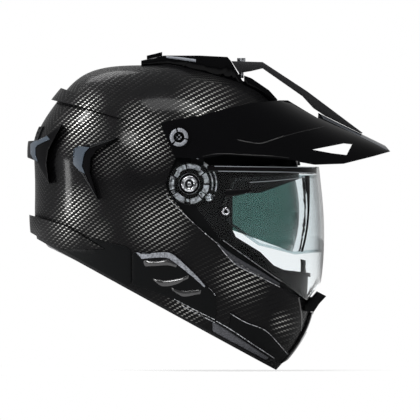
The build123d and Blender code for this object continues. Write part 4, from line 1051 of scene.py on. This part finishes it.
class HELMET_OT_peak_lines(bpy.types.Operator):
    """Builds the peak's grey ridges, partly painted highlights, its creases and the crown bars"""
    bl_idname = "helmet.peak_lines"
    bl_label = "Peak lines"

    def execute(self, context):
        # Satin grey lacquer: lighter than the gloss round it, and partly a painted edge highlight
        satin = moulded_material("satin_grey_highlight_lacquer", "3c3f44", 0.3, 0.0008, 0.00004, 0.5)
        # Polished black: the crease is seen by its shine alone
        gloss = gloss_material("polished_crease", "050506", 0.08, 0.25)
        # Satin grey ABS: an even light bar
        bar = moulded_material("satin_bar_abs", "7b7f86", 0.35, 0.0008, 0.00004, 0.5)
        peak = surface_of("peak")
        form = bmesh.new()
        laid_strip(form, peak, ((163, 74.2), (180, 66.0), (200, 56.2), (220, 46.6), (234, 38.2)),
                   ((166, 70.0), (181, 62.8), (200, 53.2), (220, 43.6), (233.5, 36.4)),
                   even(0.25), 56, 4)
        shaped_piece("peak_ridge_highlight_bands", form, satin, "shell", "satin_grey", wall=0.5, edge=0.2)
        form = bmesh.new()
        laid_bead(form, peak, ((73, 46.8), (85, 44.6), (97, 43.3), (110, 47), (122, 51),
                               (145, 57), (166, 61.4)), 0.55, 0.0, 64)
        laid_bead(form, peak, ((35.2, 29.6), (48, 31.8), (63, 32.2), (80, 31.2), (110, 29.8),
                               (128, 28)), 0.4, 0.1, 64)
        shaped_piece("peak_creases", form, gloss, "shell", "gloss_black")
        mount = surface_of("crown_mount")
        form = bmesh.new()
        laid_strip(form, mount, ((-4, 138.0), (12, 136.6), (28, 134.4)),
                   ((-4, 135.8), (12, 133.6), (28, 131.2)),
                   crowned(0.5, 0.5), 40, 6)
        shaped_piece("crown_bars", form, bar, "shell", "satin_grey", wall=0.8, edge=0.2)
        return {"FINISHED"}


class HELMET_OT_padding(bpy.types.Operator):
    """Builds the cheek pads, the crown pad and the neck roll as stuffed cloth"""
    bl_idname = "helmet.padding"
    bl_label = "Padding"

    def execute(self, context):
        # Brushed polyester knit with threads of 1.1 mm: dull, with a light nap
        cloth = knit_material("brushed_knit", "25252a", 0.0011, 0.3)
        # Coated cloth: a pebbled grain with a low shine
        grain = leather_material("coated_cloth", "2e2e33")
        backing = surface_of("impact_liner", "chin_liner", "outer_shell", "port_frame")
        jobs = (
            ("cheek_pad_right", "cheek_pad_cover_right", cloth, "pad_fabric", 0.004),
            ("cheek_pad_left", "cheek_pad_cover_left", cloth, "pad_fabric", 0.004),
            ("crown_pad", "crown_pad_cover", cloth, "pad_fabric", 0.005),
            ("neck_roll", "neck_roll_cover", grain, "leatherette", 0.004),
        )
        for node, name, material, slot, voxel in jobs:
            item = new_piece(name, copied_mesh(node, name), material, "shell", slot, node)
            remesh = item.modifiers.new("even_faces", "REMESH")
            remesh.mode = "VOXEL"
            remesh.voxel_size = voxel
            remesh.use_smooth_shade = True
            soften = item.modifiers.new("soften", "SMOOTH")
            soften.factor = 0.5
            soften.iterations = 6
            apply_modifiers(item)
            fill_with_foam(item, backing)
            finer = item.modifiers.new("finer", "SUBSURF")
            finer.levels = 1
            finer.render_levels = 1
            apply_modifiers(item)
            for face in item.data.polygons:
                face.use_smooth = True
        return {"FINISHED"}


class HELMET_OT_webbing(bpy.types.Operator):
    """Builds the chin strap halves, the chin curtain and the pull tabs"""
    bl_idname = "helmet.webbing"
    bl_label = "Webbing"

    def execute(self, context):
        # Woven polyester tape: ribs of 1.2 mm with little shine
        webbing = knit_material("polyester_webbing", "1c1c1f", 0.0012, 0.1)
        # Thin woven cloth of the curtain: near black and dull
        cloth = knit_material("curtain_cloth", "1d1d20", 0.0010, 0.2)
        # Red woven tape, so that the tabs are found quickly
        tab = knit_material("red_webbing", "8c1420", 0.0010, 0.1)
        for side in ("right", "left"):
            name = "strap_webbing_" + side
            item = new_piece(name, copied_mesh("strap_" + side, name), webbing, "shell",
                             "webbing", "strap_" + side)
            for face in item.data.polygons:
                face.use_smooth = False
        curtain = new_piece("chin_curtain_cloth", copied_mesh("chin_curtain", "chin_curtain_cloth"),
                            cloth, "shell", "pad_fabric", "chin_curtain")
        tabs = new_piece("pull_tabs", copied_mesh("emergency_tabs", "pull_tabs"), tab, "shell",
                         "red_tab", "emergency_tabs")
        # Their upper ends are sewn into the cheek pads
        top = max(vertex.co.z for vertex in tabs.data.vertices)
        for vertex in tabs.data.vertices:
            if vertex.co.z > top - TAB_SEAM:
                vertex.co.z += TAB_TUCK
        return {"FINISHED"}


def seen_through(tree, path):
    """One where a ray has only gone through clear parts, with no bounce on the way."""
    bounces = add_node(tree, "ShaderNodeMath", {"operation": "ADD", "use_clamp": True},
                       {0: path.outputs["Diffuse Depth"], 1: path.outputs["Glossy Depth"]})
    straight = add_node(tree, "ShaderNodeMath", {"operation": "SUBTRACT"},
                        {0: 1.0, 1: bounces.outputs[0]})
    return add_node(tree, "ShaderNodeMath", {"operation": "MULTIPLY"},
                    {0: path.outputs["Is Transmission Ray"], 1: straight.outputs[0]}).outputs[0]


class HELMET_OT_studio(bpy.types.Operator):
    """Builds the floor, the lights, the surroundings and the camera"""
    bl_idname = "helmet.studio"
    bl_label = "Studio"

    def execute(self, context):
        scene = context.scene
        floor_mesh = bpy.data.meshes.new("studio_floor")
        form = bmesh.new()
        bmesh.ops.create_grid(form, x_segments=1, y_segments=1, size=FLOOR_SIZE,
                              matrix=Matrix.Translation((0, 0, cad_low.z - FLOOR_DROP)))
        form.to_mesh(floor_mesh)
        form.free()
        floor = bpy.data.objects.new("studio_floor", floor_mesh)
        scene.collection.objects.link(floor)
        # Matt white paper: it shows the soft shadow and no gloss
        material, tree = start_material("pale_paper_floor")
        shader = add_node(tree, "ShaderNodeBsdfPrincipled", None,
                          {"Base Color": linear("f6f6f6"), "Roughness": 0.9,
                           "Specular IOR Level": 0.1})
        # Away from the helmet the paper fades into the white surroundings
        place = add_node(tree, "ShaderNodeTexCoord").outputs["Object"]
        reach = add_node(tree, "ShaderNodeVectorMath", {"operation": "LENGTH"}, {0: place})
        fade = add_node(tree, "ShaderNodeMapRange", {"interpolation_type": "SMOOTHSTEP"},
                        {"Value": reach.outputs["Value"], "From Min": FADE_START,
                         "From Max": FADE_END, "To Min": NEAR_WHITE})
        path = add_node(tree, "ShaderNodeLightPath")
        seen = add_node(tree, "ShaderNodeMath", {"operation": "MAXIMUM"},
                        {0: path.outputs["Is Camera Ray"], 1: seen_through(tree, path)})
        shown = add_node(tree, "ShaderNodeMath", {"operation": "MULTIPLY"},
                         {0: fade.outputs[0], 1: seen.outputs[0]})
        white = add_node(tree, "ShaderNodeEmission", None, {"Color": linear("ffffff")})
        paper = add_node(tree, "ShaderNodeMixShader", None,
                         {0: shown.outputs[0], 1: shader.outputs[0], 2: white.outputs[0]})
        end_material(tree, paper.outputs[0])
        floor_mesh.materials.append(material)

        world = bpy.data.worlds.new("studio_surroundings")
        scene.world = world
        world.use_nodes = True
        tree = world.node_tree
        tree.nodes.clear()
        path = add_node(tree, "ShaderNodeLightPath")
        # Gloss shows only a share of the white room, whose walls stand further off
        gloss = add_node(tree, "ShaderNodeMath", {"operation": "MULTIPLY"},
                         {0: path.outputs["Is Glossy Ray"], 1: ROOM_IN_GLOSS})
        seen = add_node(tree, "ShaderNodeMath", {"operation": "MAXIMUM"},
                        {0: path.outputs["Is Camera Ray"], 1: gloss.outputs[0]})
        shown = add_node(tree, "ShaderNodeMath", {"operation": "MAXIMUM"},
                         {0: seen.outputs[0], 1: seen_through(tree, path)})
        plain = add_node(tree, "ShaderNodeBackground", None,
                         {"Color": linear("ffffff"), "Strength": ROOM_LIGHT})
        white = add_node(tree, "ShaderNodeBackground", None,
                         {"Color": linear("ffffff"), "Strength": 1.0})
        mixed = add_node(tree, "ShaderNodeMixShader", None,
                         {0: shown.outputs[0], 1: plain.outputs[0], 2: white.outputs[0]})
        add_node(tree, "ShaderNodeOutputWorld", None, {"Surface": mixed.outputs[0]})

        for name, place, aim, size, power in LAMPS:
            lamp = bpy.data.lights.new(name, "AREA")
            lamp.shape = "RECTANGLE"
            lamp.size = size[0]
            lamp.size_y = size[1]
            lamp.energy = power
            item = bpy.data.objects.new(name, lamp)
            item.location = place
            item.rotation_mode = "QUATERNION"
            item.rotation_quaternion = (Vector(aim) - Vector(place)).to_track_quat("-Z", "Y")
            scene.collection.objects.link(item)

        camera = bpy.data.cameras.new("photo_camera")
        camera.sensor_width = CAMERA_SENSOR
        camera.lens = CAMERA_SENSOR * CAMERA_DISTANCE / (PHOTO_PIXELS * PIXEL)
        camera.clip_end = CAMERA_CLIP
        item = bpy.data.objects.new("photo_camera", camera)
        centre = PHOTO_PIXELS / 2
        item.location = ((centre - ORIGIN_PIXEL[0]) * PIXEL, -CAMERA_DISTANCE,
                         (ORIGIN_PIXEL[1] - centre) * PIXEL)
        item.rotation_euler = (math.pi / 2, 0, 0)
        scene.collection.objects.link(item)
        scene.camera = item
        scene.view_settings.view_transform = "Standard"
        return {"FINISHED"}


class HELMET_PT_sidebar(bpy.types.Panel):
    """Lists the helmet's sizes and steps"""
    bl_label = "Helmet"
    bl_idname = "HELMET_PT_sidebar"
    bl_space_type = "VIEW_3D"
    bl_region_type = "UI"
    bl_category = "Helmet"

    def draw(self, context):
        column = self.layout.column()
        settings = finishes()
        for name in ("dot_pitch", "row_pitch", "row_slope", "row_bend", "resin_hex", "fibre_hex"):
            column.prop(settings, name)
        for operator in STEPS:
            column.operator(operator.bl_idname)


STEPS = (
    HELMET_OT_frame_finishes,
    HELMET_OT_pivot_rings,
    HELMET_OT_shield_bands,
    HELMET_OT_side_trims,
    HELMET_OT_fin_blades,
    HELMET_OT_peak_lines,
    HELMET_OT_padding,
    HELMET_OT_webbing,
    HELMET_OT_studio,
)
CLASSES = (HelmetFinishes, *STEPS, HELMET_PT_sidebar)


def register():
    for item in CLASSES:
        bpy.utils.register_class(item)
    bpy.types.Scene.helmet_finishes = bpy.props.PointerProperty(type=HelmetFinishes)


def unregister():
    del bpy.types.Scene.helmet_finishes
    for item in reversed(CLASSES):
        bpy.utils.unregister_class(item)


def main():
    register()
    bpy.ops.helmet.frame_finishes()
    bpy.ops.helmet.pivot_rings()
    bpy.ops.helmet.shield_bands()
    bpy.ops.helmet.side_trims()
    bpy.ops.helmet.fin_blades()
    bpy.ops.helmet.peak_lines()
    bpy.ops.helmet.padding()
    bpy.ops.helmet.webbing()
    bpy.ops.helmet.studio()


if __name__ == "__main__":
    main()
